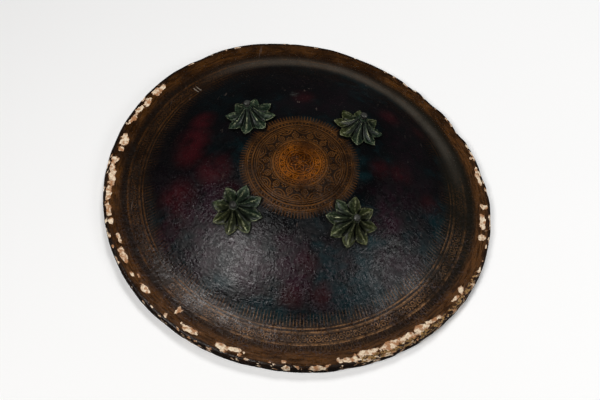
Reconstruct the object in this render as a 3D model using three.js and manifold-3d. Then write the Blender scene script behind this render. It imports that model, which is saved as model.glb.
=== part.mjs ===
// Dhal: a round hide shield, lying face up on its rim.
//
// A domed disc of lacquered hide with a flared, thickened rim carries four
// flower bosses. A stem goes through each boss and the hide. Its outer end is
// held by a collar and a knob, its inner end is forged into an eye. A ring
// hangs in each eye, and two padded hand straps hang between pairs of rings,
// one on each side of a knuckle cushion. The cushion sits on a leather panel
// whose four corners are held under washers on the stems.
//
// Millimetres, +Z up. The origin is on the ground, under the crown.
// Right and left are +X and -X, back and front are +Y and -Y.

import * as THREE from 'three';
import Module from 'manifold-3d';
import { mergeVertices } from 'three/addons/utils/BufferGeometryUtils.js';

const wasm = await Module();
wasm.setup();

// Gaps between pieces
const fit = 0.3;          // between two pieces that touch
const panelFit = 0.35;    // between the leather panel and the hide above it
const washerFit = 0.45;   // a flat washer under a curved panel
const overrun = 2;        // how far a cutter runs past what it cuts

// Hide bowl
const bowlRadius = 225;
const crownHeight = 78;
const crownThickness = 5;
const rimThickness = 12;
const rimWidth = 19;          // level top of the flared rim
const rimTurnRadius = 62;     // hollow turn between the dome and the rim, outside
const footWidth = 24;         // level underside of the rim
const footTurnRadius = 30;    // the same turn, inside
const edgeCornerRadius = 3;
const edgeFootRadius = 2;
const ovalShare = 0.0277;     // how far the hide has dried out of round
const trefoilShare = 0.0108;
const ovalAngle = THREE.MathUtils.degToRad(-24.75);
const trefoilAngle = THREE.MathUtils.degToRad(-10.2);

// Flower bosses
const bossCircleRadius = 89.3;
const petalReach = 30;
const petalCount = 8;
const petalThickness = 1.5;
const bossHeight = 17;
const bossNeckRadius = 4.2;
const bossWall = 2.2;
const seatWidth = 9;          // how far in from the tip a petal touches the hide
const petalRib = 0.9;
const bossMargin = 5;         // true dome kept beyond the petal tips
// From one notch to the next: reach, and height of the ribs and flutes
const petalOutlineShares = [0.7, 0.84, 0.94, 1, 0.94, 0.84];
const petalRibShares = [-0.7, 0.35, -0.2, 1, -0.2, 0.35];
// From the neck to the tip: place along the petal, and height of the cone
const bossPlaceShares = [0, 0.14, 0.36, 0.68, 1];
const bossRiseShares = [1, 0.74, 0.39, 0.12, 0];
// How far each boss has turned on its stem, in petals: back left, back right, front right, front left
const bossTurnShares = [-0.07, -0.08, -0.08, -0.34];

// Collars and knobs
const collarRadius = 5.6;
const collarThickness = 1.4;
const knobRadius = 4.1;
const knobBaseRadius = 3.2;
const knobHeight = 5.6;
const knobCap = 1.6;          // solid metal above the stem's end

// Stems and eyes
const stemRadius = 1.9;
const stemFit = 0.3;
const shoulderRadius = 4;
const shoulderThickness = 1.5;
const eyeRadius = 5.2;
const wireRadius = 1.6;       // eyes and rings are of the same wire

// Washers
const washerRadius = 8;
const washerThickness = 1.5;

// Rings
const ringRadius = 9.5;
const ringLean = THREE.MathUtils.degToRad(35);   // a hanging strap draws its rings together

// Leather panel and knuckle cushion
const panelThickness = 2;
const panelCornerRadius = 10;
const panelDraw = 5;          // how far its sides pull in between the corners
const cushionClearance = 8.3; // between the piping's corners and the washers
const cushionCornerRadius = 9;
const cushionEdge = 7;        // thickness at its seam
const cushionCrown = 21;
const cushionDraw = 3;        // the same for the cushion
const pipingRadius = 1.9;
const pipingGap = 0.6;        // between the piping and the cushion's seam

// Hand straps
const tongueWidth = 8;
const tongueThickness = 5;
const tongueWall = 2;
const tongueSlack = 1.2;      // room for the ring's curve in the fold
const tongueLength = 13;
const gripWidth = 20;
const gripThickness = 9;
const gripTaper = 12;
const strapBendRadius = 22;
const keeperLength = 6;
const keeperThickness = 1.4;
const keeperStart = 5.6;

// Steps round and along the curved pieces
const bowlSteps = 60;
const panelSteps = 40;
const cushionSteps = 40;
const strapSides = 10;
const roundSteps = 16;
const wireSides = 8;
const pipingSides = 6;

const colours = {
  hide: [0x2a2022, 0.45, 0],
  verdigris: [0x5d7453, 0.6, 0.5],
  iron: [0x77736b, 0.5, 0.9],
  brass: [0x8d7440, 0.45, 0.9],
  leather: [0x5a2a1c, 0.7, 0],
  cloth: [0x7b1f22, 0.9, 0],
};

const up = new THREE.Vector3(0, 0, 1);
const sideways = new THREE.Vector3(1, 0, 0);

// Turns any closed geometry into a solid with its faces pointing out.
function solid(geometry) {
  const plain = geometry.clone();
  plain.deleteAttribute('normal');
  plain.deleteAttribute('uv');
  const merged = mergeVertices(plain, fit / 1000);
  const corners = merged.index.array;
  const place = merged.attributes.position;
  const at = (n) => new THREE.Vector3().fromBufferAttribute(place, n);
  const faces = [];
  let volume = 0;
  for (let n = 0; n < corners.length; n += 3) {
    const [a, b, c] = [corners[n], corners[n + 1], corners[n + 2]];
    if (a === b || b === c || c === a) continue;
    volume += at(a).dot(at(b).cross(at(c)));
    faces.push(a, b, c);
  }
  if (volume < 0) faces.reverse();
  return new wasm.Manifold(new wasm.Mesh({
    numProp: 3,
    vertProperties: new Float32Array(place.array),
    triVerts: new Uint32Array(faces),
  }));
}

function geometryOf(manifold) {
  const mesh = manifold.getMesh();
  const geometry = new THREE.BufferGeometry();
  geometry.setAttribute('position', new THREE.BufferAttribute(mesh.vertProperties, mesh.numProp));
  geometry.setIndex(new THREE.BufferAttribute(mesh.triVerts, 1));
  geometry.computeVertexNormals();
  return geometry;
}

function piece(name, manifold, [colour, roughness, metalness]) {
  const material = new THREE.MeshStandardMaterial({ color: colour, roughness, metalness });
  const mesh = new THREE.Mesh(geometryOf(manifold), material);
  mesh.name = name;
  return mesh;
}

// A closed skin over rings of points. The ends are capped, or joined when looped.
function skin(rings, looped = false) {
  const count = rings[0].length;
  const points = rings.flat();
  const faces = [];
  const spans = looped ? rings.length : rings.length - 1;
  for (let row = 0; row < spans; row += 1) {
    const next = (row + 1) % rings.length;
    for (let n = 0; n < count; n += 1) {
      const m = (n + 1) % count;
      const [a, b, c, d] = [row * count + n, row * count + m, next * count + m, next * count + n];
      faces.push(a, b, c, a, c, d);
    }
  }
  if (!looped) {
    for (const [row, first, second] of [[0, 1, 0], [rings.length - 1, 0, 1]]) {
      const middle = points.length;
      const centre = new THREE.Vector3();
      rings[row].forEach((point) => centre.addScaledVector(point, 1 / count));
      points.push(centre);
      for (let n = 0; n < count; n += 1) {
        const edge = [row * count + n, row * count + ((n + 1) % count)];
        faces.push(middle, edge[first], edge[second]);
      }
    }
  }
  const geometry = new THREE.BufferGeometry();
  geometry.setAttribute('position', new THREE.Float32BufferAttribute(points.flatMap((p) => p.toArray()), 3));
  geometry.setIndex(faces);
  return solid(geometry);
}

// Turned about Z. The outline is a list of [radius, height].
function turned(outline, steps = roundSteps) {
  const points = outline.map(([radius, height]) => new THREE.Vector2(radius, height));
  return solid(new THREE.LatheGeometry(points, steps).rotateX(Math.PI / 2));
}

function rod(radius, low, high, steps = roundSteps) {
  return turned([[0, low], [radius, low], [radius, high], [0, high]], steps);
}

function washer(inner, outer, low, high) {
  return turned([[inner, low], [outer, low], [outer, high], [inner, high], [inner, low]]);
}

function arc(centre, radius, from, to, steps) {
  const points = [];
  for (let n = 0; n <= steps; n += 1) {
    const angle = THREE.MathUtils.lerp(from, to, n / steps);
    points.push([centre[0] + radius * Math.cos(angle), centre[1] + radius * Math.sin(angle)]);
  }
  return points;
}

// One face of the bowl: part of a ball that turns into a level rim through a
// hollow curve. The ball's radius follows from the rim that it has to meet.
function domeFace(crown, floor, turnStart, turnRadius) {
  const drop = crown - floor;
  const radius = (turnStart ** 2 + drop ** 2) / (2 * drop) - turnRadius;
  const centre = crown - radius;
  const tilt = Math.atan2(turnStart, floor + turnRadius - centre);
  return { radius, centre, tilt, turnStart, turnRadius, floor };
}

function facePoints(face, ballSteps, turnSteps) {
  const quarter = Math.PI / 2;
  const ball = arc([0, face.centre], face.radius, quarter, quarter - face.tilt, ballSteps);
  const turnCentre = [face.turnStart, face.floor + face.turnRadius];
  const turn = arc(turnCentre, face.turnRadius, -quarter - face.tilt, -quarter, turnSteps);
  ball[0][0] = 0;
  return ball.concat(turn.slice(1));
}

const outerFace = domeFace(crownHeight, rimThickness, bowlRadius - rimWidth, rimTurnRadius);
const innerFace = domeFace(crownHeight - crownThickness, 0, bowlRadius - footWidth, footTurnRadius);

// The hide is truly round as far as the bosses, and dries out of round beyond.
const roundAsFarAs = bossCircleRadius + petalReach + bossMargin;
function outOfRound(radius, angle) {
  const share = THREE.MathUtils.smoothstep(radius, roundAsFarAs, bowlRadius);
  const oval = ovalShare * Math.cos(2 * (angle - ovalAngle));
  const trefoil = trefoilShare * Math.cos(3 * (angle - trefoilAngle));
  return 1 + share * (oval + trefoil);
}

// Where a boss stands: its own up is square to the dome.
const bossTilt = Math.asin(bossCircleRadius / outerFace.radius);
const bossPlaces = [
  ['back_left', 135],
  ['back_right', 45],
  ['front_right', -45],
  ['front_left', -135],
].map(([name, degrees]) => {
  const matrix = new THREE.Matrix4()
    .makeTranslation(0, 0, outerFace.centre)
    .multiply(new THREE.Matrix4().makeRotationZ(THREE.MathUtils.degToRad(degrees)))
    .multiply(new THREE.Matrix4().makeRotationY(bossTilt))
    .multiply(new THREE.Matrix4().makeTranslation(0, 0, outerFace.radius));
  return { name, matrix };
});

// Heights on a stem, from the outer face of the hide
const ballOffset = innerFace.centre - outerFace.centre;
const innerReach = ballOffset * Math.cos(bossTilt)
  + Math.sqrt(innerFace.radius ** 2 - (ballOffset * Math.sin(bossTilt)) ** 2);
const hideUnder = innerReach - outerFace.radius;
const panelUnder = hideUnder - panelFit - panelThickness;
const washerTop = panelUnder - washerFit;
const washerUnder = washerTop - washerThickness;
const shoulderTop = washerUnder - fit;
const shoulderUnder = shoulderTop - shoulderThickness;
const eyeHeight = shoulderUnder - eyeRadius;
const collarFoot = bossHeight + fit;
const knobFoot = collarFoot + collarThickness + fit;
const stemTop = knobFoot + knobHeight - knobCap;

// How far from the middle a stem meets the inside of the hide, and half of
// the cushion's width, which fits between the washers of opposite stems
const stemReach = innerReach * Math.sin(bossTilt);
const cushionDiagonal = stemReach - washerRadius - cushionClearance - 2 * pipingRadius - pipingGap;
const cushionHalf = (cushionDiagonal + cushionCornerRadius * (Math.SQRT2 - 1)) * Math.SQRT1_2;

function hideBowl() {
  const half = Math.PI / 2;
  const corner = [bowlRadius - edgeCornerRadius, rimThickness - edgeCornerRadius];
  const foot = [bowlRadius - edgeFootRadius, edgeFootRadius];
  const outline = [
    ...facePoints(outerFace, 9, 5),
    ...arc(corner, edgeCornerRadius, half, 0, 3),
    ...arc(foot, edgeFootRadius, 0, -half, 2),
    ...facePoints(innerFace, 8, 3).reverse(),
  ];
  const points = outline.map(([radius, height]) => new THREE.Vector2(radius, height));
  const geometry = new THREE.LatheGeometry(points, bowlSteps).rotateX(half);
  const place = geometry.attributes.position;
  for (let n = 0; n < place.count; n += 1) {
    const [x, y] = [place.getX(n), place.getY(n)];
    const stretch = outOfRound(Math.hypot(x, y), Math.atan2(y, x));
    place.setXY(n, x * stretch, y * stretch);
  }
  let bowl = solid(geometry);
  for (const { matrix } of bossPlaces) {
    const drill = rod(stemRadius + stemFit, hideUnder - overrun, overrun, wireSides);
    bowl = bowl.subtract(drill.transform(matrix.elements));
  }
  return bowl;
}

// Eight pointed petals that rise to a neck, hollow underneath
function flowerBoss(turnShare) {
  const ways = petalOutlineShares.length;
  const count = petalCount * ways;
  const sag = (radius) => Math.sqrt(outerFace.radius ** 2 - radius ** 2) - outerFace.radius;
  const ring = (radiusAt, heightAt) => Array.from({ length: count }, (_, n) => {
    const angle = ((turnShare * ways + n - ways / 2) * 2 * Math.PI) / count;
    const radius = radiusAt(n % ways);
    return new THREE.Vector3(radius * Math.cos(angle), radius * Math.sin(angle), heightAt(radius, n % ways));
  });
  const boreRadius = stemRadius + stemFit;
  const tip = (way) => petalReach * petalOutlineShares[way];
  const onHide = (radius) => sag(radius) + fit;
  const top = bossPlaceShares.map((along, row) => ring(
    (way) => THREE.MathUtils.lerp(bossNeckRadius, tip(way), along),
    (radius, way) => {
      const ribs = petalRib * petalRibShares[way] * Math.sin(Math.PI * Math.sqrt(along));
      const rise = petalThickness + (bossHeight - petalThickness - fit) * bossRiseShares[row];
      return onHide(radius) * along + (1 - along) * fit + rise + ribs;
    },
  ));
  const seat = (way) => tip(way) - seatWidth;
  const roof = bossHeight - bossWall;
  return skin([
    ring(() => boreRadius, () => bossHeight),
    ...top,
    ring(tip, onHide),
    ring(seat, onHide),
    ring(() => boreRadius, () => roof),
  ], true);
}

function collar() {
  return washer(stemRadius + stemFit, collarRadius, collarFoot, collarFoot + collarThickness);
}

function knob() {
  const socket = stemRadius + stemFit;
  const waist = (knobRadius + knobBaseRadius) / 2;
  const ballFoot = knobFoot + knobCap;
  const top = knobFoot + knobHeight;
  const roof = stemTop + fit;
  return turned([
    [0, top],
    [knobRadius * 0.55, top - knobCap * 0.35],
    [knobRadius * 0.9, top - knobCap],
    [knobRadius, (top + ballFoot) / 2],
    [waist, ballFoot],
    [knobBaseRadius, ballFoot - knobCap / 2],
    [waist, knobFoot],
    [socket, knobFoot],
    [socket, roof],
    [0, roof],
  ], 12);
}

// The stem with its shoulder, and an eye that stands square to the strap
function eyeStem({ matrix }) {
  const stem = rod(stemRadius, shoulderUnder, stemTop, 12);
  const shoulder = rod(shoulderRadius, shoulderUnder, shoulderTop, 12);
  const centre = new THREE.Vector3(0, 0, eyeHeight).applyMatrix4(matrix);
  const torus = new THREE.TorusGeometry(eyeRadius, wireRadius, wireSides, roundSteps)
    .rotateY(Math.PI / 2)
    .translate(...centre.toArray())
    .applyMatrix4(matrix.clone().invert());
  return stem.add(shoulder).add(solid(torus));
}

// Ring and strap places follow from an eye. The strap pulls its rings
// towards its own middle, so each ring leans that way in its eye.
function hangingAt({ matrix }) {
  const eye = new THREE.Vector3(0, 0, eyeHeight).applyMatrix4(matrix);
  const towardsMiddle = -Math.sign(eye.y);
  const pull = new THREE.Vector3(0, towardsMiddle * Math.sin(ringLean), -Math.cos(ringLean));
  const pivot = eye.clone().addScaledVector(pull, eyeRadius);
  const ringCentre = pivot.clone().addScaledVector(pull, ringRadius - 2 * wireRadius - fit);
  const fold = ringCentre.clone().addScaledVector(pull, ringRadius);
  return { pull, pivot, ringCentre, fold, towardsMiddle };
}

function ring(place) {
  const { pull } = hangingAt(place);
  const basis = new THREE.Matrix4().makeBasis(sideways, pull, sideways.clone().cross(pull));
  return solid(new THREE.TorusGeometry(ringRadius, wireRadius, wireSides, 20).applyMatrix4(basis));
}

// The strap's middle line on one side, from the fold round its ring to the
// middle of the grip, with the section's width and thickness at each place.
function strapStations(place) {
  const { pull, fold, towardsMiddle } = hangingAt(place);
  const stations = [];
  const add = (point, along, width, thickness) => {
    const across = sideways.clone().cross(along).normalize();
    stations.push({ point, across, width, thickness });
  };
  const grip = (share) => [
    THREE.MathUtils.lerp(tongueWidth, gripWidth, share),
    THREE.MathUtils.lerp(tongueThickness, gripThickness, share),
  ];
  const start = wireRadius + fit + tongueWall / 2;
  for (const distance of [start, keeperStart, keeperStart + keeperLength + fit, tongueLength]) {
    add(fold.clone().addScaledVector(pull, distance), pull, tongueWidth, tongueThickness);
  }
  const slope = Math.PI / 2 - ringLean;
  const bendStart = fold.clone().addScaledVector(pull, tongueLength);
  const bendSteps = 5;
  for (let n = 1; n <= bendSteps; n += 1) {
    const turned = (slope * n) / bendSteps;
    const angle = slope - turned;
    const run = strapBendRadius * (Math.sin(slope) - Math.sin(angle));
    const fall = strapBendRadius * (Math.cos(angle) - Math.cos(slope));
    const point = bendStart.clone().add(new THREE.Vector3(0, towardsMiddle * run, -fall));
    const along = new THREE.Vector3(0, towardsMiddle * Math.cos(angle), -Math.sin(angle));
    const share = THREE.MathUtils.smoothstep(strapBendRadius * turned, 0, gripTaper);
    add(point, along, ...grip(share));
  }
  return stations;
}

function ovalRing({ point, across, width, thickness }) {
  const points = [];
  for (let n = 0; n < strapSides; n += 1) {
    const angle = (2 * Math.PI * n) / strapSides;
    const square = (value) => Math.sign(value) * Math.sqrt(Math.abs(value));
    points.push(point.clone()
      .addScaledVector(sideways, (width / 2) * square(Math.cos(angle)))
      .addScaledVector(across, (thickness / 2) * square(Math.sin(angle))));
  }
  return points;
}

// The fold of leather round a ring's wire
function fold(place) {
  const { pull, fold: middle } = hangingAt(place);
  const across = sideways.clone().cross(pull);
  const basis = new THREE.Matrix4().makeBasis(pull, across, sideways.clone());
  const inner = wireRadius + fit;
  const outer = inner + tongueWall;
  const slot = (radius, shape) => {
    shape.absarc(0, 0, radius, -Math.PI / 2, Math.PI / 2, false);
    shape.absarc(-tongueSlack, 0, radius, Math.PI / 2, (3 * Math.PI) / 2, false);
    shape.closePath();
    return shape;
  };
  const shape = slot(outer, new THREE.Shape());
  shape.holes.push(slot(inner / Math.cos(Math.PI / 12), new THREE.Path()));
  const settings = { depth: tongueWidth, bevelEnabled: false, curveSegments: 6 };
  const geometry = new THREE.ExtrudeGeometry(shape, settings)
    .translate(0, 0, -tongueWidth / 2)
    .applyMatrix4(basis)
    .translate(...middle.toArray());
  return solid(geometry);
}

function handStrap(backPlace, frontPlace) {
  const back = strapStations(backPlace);
  const front = strapStations(frontPlace).reverse();
  front.forEach((station) => station.across.negate());
  const body = skin([...back, ...front].map((station) => ovalRing(station)));
  return body.add(fold(backPlace)).add(fold(frontPlace));
}

// A stitched leather band that closes the fold
function keeper(place) {
  const { pull, fold: middle } = hangingAt(place);
  const across = sideways.clone().cross(pull);
  const sleeve = (distance, grow) => ovalRing({
    point: middle.clone().addScaledVector(pull, distance),
    across,
    width: tongueWidth + 2 * grow,
    thickness: tongueThickness + 2 * grow,
  });
  const [near, far] = [keeperStart, keeperStart + keeperLength];
  const outside = fit + keeperThickness;
  return skin([sleeve(near, fit), sleeve(near, outside), sleeve(far, outside), sleeve(far, fit)], true);
}

// Height of a face that lies under the hide at a given depth
function underHide(radius, depth) {
  return innerFace.centre + Math.sqrt((innerFace.radius - depth) ** 2 - radius ** 2);
}

// A leather panel with drawn-in sides, curved to the inside of the hide
function cushionPanel() {
  const corner = stemReach * Math.SQRT1_2;
  const waist = corner - panelDraw;
  const reach = stemReach + panelCornerRadius + overrun;
  const top = innerFace.radius - panelFit;
  const under = top - panelThickness;
  const quarter = Math.PI / 2;
  const sheet = [
    ...arc([0, innerFace.centre], top, quarter, quarter - Math.asin(reach / top), 6),
    ...arc([0, innerFace.centre], under, quarter, quarter - Math.asin(reach / under), 6).reverse(),
  ];
  sheet[0][0] = 0;
  sheet[sheet.length - 1][0] = 0;
  const shape = new THREE.Shape();
  const bulge = corner + panelCornerRadius * Math.SQRT1_2;
  for (let n = 0; n < 4; n += 1) {
    const turn = n * quarter;
    const [c, s] = [Math.round(Math.cos(turn)), Math.round(Math.sin(turn))];
    const at = (x, y) => [c * x - s * y, s * x + c * y];
    shape.absarc(...at(corner, corner), panelCornerRadius, turn - quarter / 2, turn + 1.5 * quarter, false);
    const next = [Math.round(-s), c];
    const end = [next[0] * bulge - next[1] * (corner - panelCornerRadius * Math.SQRT1_2),
      next[1] * bulge + next[0] * (corner - panelCornerRadius * Math.SQRT1_2)];
    shape.quadraticCurveTo(...at(0, 2 * waist - bulge), ...end);
  }
  const low = underHide(reach, panelFit + panelThickness) - overrun;
  const depth = innerFace.centre + top + overrun - low;
  const cutter = new THREE.ExtrudeGeometry(shape, { depth, bevelEnabled: false, curveSegments: 6 }).translate(0, 0, low);
  let panel = turned(sheet, panelSteps).intersect(solid(cutter));
  for (const { matrix } of bossPlaces) {
    const drill = rod(stemRadius + stemFit, panelUnder - overrun, hideUnder + overrun, wireSides);
    panel = panel.subtract(drill.transform(matrix.elements));
  }
  return panel;
}

// Half the cushion's width in a direction, with round corners and drawn-in sides
function cushionReach(angle) {
  const turn = Math.abs((((angle % (Math.PI / 2)) + Math.PI / 2) % (Math.PI / 2)) - Math.PI / 4);
  const side = cushionHalf / Math.cos(Math.PI / 4 - turn);
  const draw = cushionDraw * Math.sin(2 * turn) ** 2;
  return Math.min(side, cushionDiagonal) - draw;
}

function knuckleCushion() {
  const depth = panelFit + panelThickness + fit;
  const ringAt = (share, thicknessAt) => Array.from({ length: cushionSteps }, (_, n) => {
    const angle = (2 * Math.PI * (n + 0.5)) / cushionSteps;
    const radius = share * cushionReach(angle);
    const height = underHide(radius, depth) - thicknessAt;
    return new THREE.Vector3(radius * Math.cos(angle), radius * Math.sin(angle), height);
  });
  const underShares = [1, 0.95, 0.82, 0.62, 0.36, 0.1];
  const swell = (share) => cushionEdge + (cushionCrown - cushionEdge) * Math.sqrt(1 - share ** 2);
  const aboveShares = [0.1, 0.5, 0.93];
  return skin([
    ...aboveShares.map((share) => ringAt(share, 0)),
    ringAt(1, cushionEdge / 4),
    ...underShares.map((share) => ringAt(share, swell(share))),
  ]);
}

function cushionPiping() {
  const depth = panelFit + panelThickness + fit;
  const rings = Array.from({ length: cushionSteps }, (_, n) => {
    const angle = (2 * Math.PI * (n + 0.5)) / cushionSteps;
    const out = new THREE.Vector3(Math.cos(angle), Math.sin(angle), 0);
    const radius = cushionReach(angle) + pipingRadius + pipingGap;
    const height = underHide(radius, depth) - cushionEdge / 2;
    return Array.from({ length: pipingSides }, (_ignored, side) => {
      const turn = (2 * Math.PI * side) / pipingSides;
      return out.clone().multiplyScalar(radius + pipingRadius * Math.cos(turn))
        .addScaledVector(up, height + pipingRadius * Math.sin(turn));
    });
  });
  return skin(rings, true);
}

const shield = new THREE.Group();
shield.add(piece('hide_bowl', hideBowl(), colours.hide));

bossPlaces.forEach((place, n) => {
  const stand = new THREE.Group();
  place.matrix.decompose(stand.position, stand.quaternion, stand.scale);
  stand.add(piece(`boss_${place.name}`, flowerBoss(bossTurnShares[n]), colours.verdigris));
  stand.add(piece(`collar_${place.name}`, collar(), colours.verdigris));
  stand.add(piece(`knob_${place.name}`, knob(), colours.iron));
  stand.add(piece(`eye_stem_${place.name}`, eyeStem(place), colours.iron));
  const plate = washer(stemRadius + stemFit, washerRadius, washerUnder, washerTop);
  stand.add(piece(`washer_${place.name}`, plate, colours.brass));
  shield.add(stand);
  const hanging = piece(`ring_${place.name}`, ring(place), colours.iron);
  hanging.position.copy(hangingAt(place).ringCentre);
  shield.add(hanging);
  shield.add(piece(`keeper_${place.name}`, keeper(place), colours.leather));
});

const [backLeft, backRight, frontRight, frontLeft] = bossPlaces;
shield.add(piece('strap_left', handStrap(backLeft, frontLeft), colours.leather));
shield.add(piece('strap_right', handStrap(backRight, frontRight), colours.leather));
shield.add(piece('cushion_panel', cushionPanel(), colours.leather));
shield.add(piece('knuckle_cushion', knuckleCushion(), colours.cloth));
shield.add(piece('cushion_piping', cushionPiping(), colours.leather));

export default shield;
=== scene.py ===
# %% [markdown]
# # A lacquered hide shield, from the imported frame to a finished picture
#
# The real object is one disc of thick hide, pressed over a mould into a dome with a
# flared rim, then painted, gilded and lacquered. Four bronze flowers cover the ends of
# the stems that hold two hand straps and a knuckle cushion behind it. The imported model
# already has every solid in its true place, in metres. This script dresses it: it puts
# finer pieces over the plain solids, and gives each one a surface made from nodes.

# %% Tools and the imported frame
import math
from functools import reduce
from types import SimpleNamespace

import bmesh
import bpy
import numpy as np
from mathutils import Matrix, Vector, noise


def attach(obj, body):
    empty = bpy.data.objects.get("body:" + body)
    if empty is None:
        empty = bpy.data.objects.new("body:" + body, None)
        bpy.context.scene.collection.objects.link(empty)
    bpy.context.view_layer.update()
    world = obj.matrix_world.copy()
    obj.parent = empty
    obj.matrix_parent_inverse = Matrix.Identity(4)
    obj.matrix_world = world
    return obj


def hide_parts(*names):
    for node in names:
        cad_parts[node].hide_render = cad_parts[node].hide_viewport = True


# The vector noise starts from the clock unless it is given a seed
noise_seed = 1
noise.seed_set(noise_seed)

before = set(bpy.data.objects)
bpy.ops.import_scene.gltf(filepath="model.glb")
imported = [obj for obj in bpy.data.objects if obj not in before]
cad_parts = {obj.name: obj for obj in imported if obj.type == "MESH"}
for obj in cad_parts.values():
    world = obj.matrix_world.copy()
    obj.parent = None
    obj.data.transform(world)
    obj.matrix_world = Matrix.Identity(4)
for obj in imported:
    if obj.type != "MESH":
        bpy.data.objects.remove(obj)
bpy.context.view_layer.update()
print("nodes in the frame:", len(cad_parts))

# %% [markdown]
# ## Sizes
#
# The maker of a shield works in millimetres, and so does this script. Each size is
# written once and named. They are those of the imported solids, so every fine piece sits
# where its solid is. One factor turns a finished mesh into metres at the very end.

# %% Sizes in millimetres
MM = 0.001

bowl_radius = 225.0
crown_height = 78.0
crown_thickness = 5.0
rim_thickness = 12.0
rim_width = 19.0
rim_turn_radius = 62.0
foot_width = 24.0
foot_turn_radius = 30.0
edge_corner_radius = 3.0
edge_foot_radius = 2.0
oval_share, oval_angle = 0.0277, math.radians(-24.75)
trefoil_share, trefoil_angle = 0.0108, math.radians(-10.2)

boss_circle_radius = 89.3
petal_reach = 30.0
petal_count = 8
boss_height = 17.0
boss_margin = 5.0
round_as_far_as = boss_circle_radius + petal_reach + boss_margin

corners = {"back_left": 135, "back_right": 45, "front_right": -45, "front_left": -135}
notch_share = 0.66
boss_turn_shares = {"back_left": -0.07, "back_right": -0.08, "front_right": -0.08, "front_left": -0.34}


def dome_face(crown, floor, turn_start, turn_radius):
    """A ball that turns into a level rim through a hollow curve."""
    drop = crown - floor
    radius = (turn_start**2 + drop**2) / (2 * drop) - turn_radius
    centre = crown - radius
    tilt = math.atan2(turn_start, floor + turn_radius - centre)
    return SimpleNamespace(radius=radius, centre=centre, tilt=tilt, floor=floor,
                           turn_start=turn_start, turn_radius=turn_radius)


outer_face = dome_face(crown_height, rim_thickness, bowl_radius - rim_width, rim_turn_radius)
inner_face = dome_face(crown_height - crown_thickness, 0.0, bowl_radius - foot_width, foot_turn_radius)


def face_height(face, radius):
    """Height of a face of the bowl at a distance from its middle."""
    ball_end = face.turn_start - face.turn_radius * math.sin(face.tilt)
    if radius <= ball_end:
        return face.centre + math.sqrt(face.radius ** 2 - radius**2)
    if radius < face.turn_start:
        across = face.turn_start - radius
        return face.floor + face.turn_radius - math.sqrt(face.turn_radius ** 2 - across**2)
    return face.floor


def smooth_step(value, low, high):
    share = min(1.0, max(0.0, (value - low) / (high - low)))
    return share * share * (3 - 2 * share)


def bump(value, middle, width):
    """1 at the middle, falling softly to 0 on both sides."""
    return math.exp(-(((value - middle) / width) ** 2))


def out_of_round(radius, angle):
    """How far the hide has dried out of round, as a factor on its radius."""
    share = smooth_step(radius, round_as_far_as, bowl_radius)
    oval = oval_share * math.cos(2 * (angle - oval_angle))
    trefoil = trefoil_share * math.cos(3 * (angle - trefoil_angle))
    return 1 + share * (oval + trefoil)


# Each boss stands square to the dome. Its own place has its up axis along the stem.
boss_tilt = math.asin(boss_circle_radius / outer_face.radius)


def boss_place(corner):
    return (Matrix.Translation((0, 0, outer_face.centre))
            @ Matrix.Rotation(math.radians(corners[corner]), 4, "Z")
            @ Matrix.Rotation(boss_tilt, 4, "Y")
            @ Matrix.Translation((0, 0, outer_face.radius)))


print("outside of the dome: radius", round(outer_face.radius, 1), "mm, bosses lean",
      round(math.degrees(boss_tilt), 1), "degrees")

# %% [markdown]
# ## Camera
#
# The photograph was taken from above and in front, from about 1.2 metres. The camera is
# placed by its distance, height angle and roll round a point on the shield, and nothing
# in the scene is bent to suit it.


# %% Camera
def add_camera():
    target = Vector((4.6, -27.0, 40.0)) * MM
    distance = 1142.6 * MM
    rise, sideways_angle, roll = (math.radians(degrees) for degrees in (59.53, -0.88, 6.84))
    level = math.cos(rise)
    back = Vector((math.sin(sideways_angle) * level, -math.cos(sideways_angle) * level, math.sin(rise)))
    right = (-back).cross(Vector((0, 0, 1))).normalized()
    up = back.cross(right)
    rolled_right = math.cos(roll) * right + math.sin(roll) * up
    rolled_up = math.cos(roll) * up - math.sin(roll) * right
    camera = bpy.data.objects.new("camera", bpy.data.cameras.new("camera"))
    camera.data.lens = 60
    camera.data.sensor_width = 36
    turn = Matrix((rolled_right, rolled_up, back)).transposed().to_4x4()
    camera.matrix_world = Matrix.Translation(target + back * distance) @ turn
    bpy.context.scene.collection.objects.link(camera)
    bpy.context.scene.camera = camera
    return camera


camera = add_camera()
bpy.context.scene.view_settings.view_transform = "Standard"
print("camera at", [round(value, 3) for value in camera.matrix_world.translation])

# %% [markdown]
# ## Meshes
#
# Most pieces here are made from lists of points and faces, because their shapes follow
# rules that are easier to write than to model by hand. Three makers cover nearly all of
# them: a skin over rings of points, an outline turned about an axis, and a wire bent
# round. Each gives a closed skin, which becomes a mesh whose faces point outwards.


# %% Makers of meshes
def circle(steps, offset=0.0):
    """The angles of equal steps round a circle."""
    return [2 * math.pi * (n + offset) / steps for n in range(steps)]


def around(radius, angle, height=0.0):
    """A point at a distance from the up axis, in a direction."""
    return radius * math.cos(angle), radius * math.sin(angle), height


def make_piece(name, points, faces, edges=()):
    """A smooth mesh object from points in millimetres, in its place, with its faces outwards."""
    mesh = bpy.data.meshes.new(name)
    mesh.from_pydata([tuple(value * MM for value in point) for point in points], edges, faces)
    piece = bpy.data.objects.new(name, mesh)
    bpy.context.scene.collection.objects.link(piece)
    return smoothed(piece)


def smoothed(piece):
    """The same piece with its faces outwards and shaded smooth."""
    work = bmesh.new()
    work.from_mesh(piece.data)
    bmesh.ops.recalc_face_normals(work, faces=work.faces)
    for face in work.faces:
        face.smooth = True
    work.to_mesh(piece.data)
    work.free()
    return piece


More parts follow.
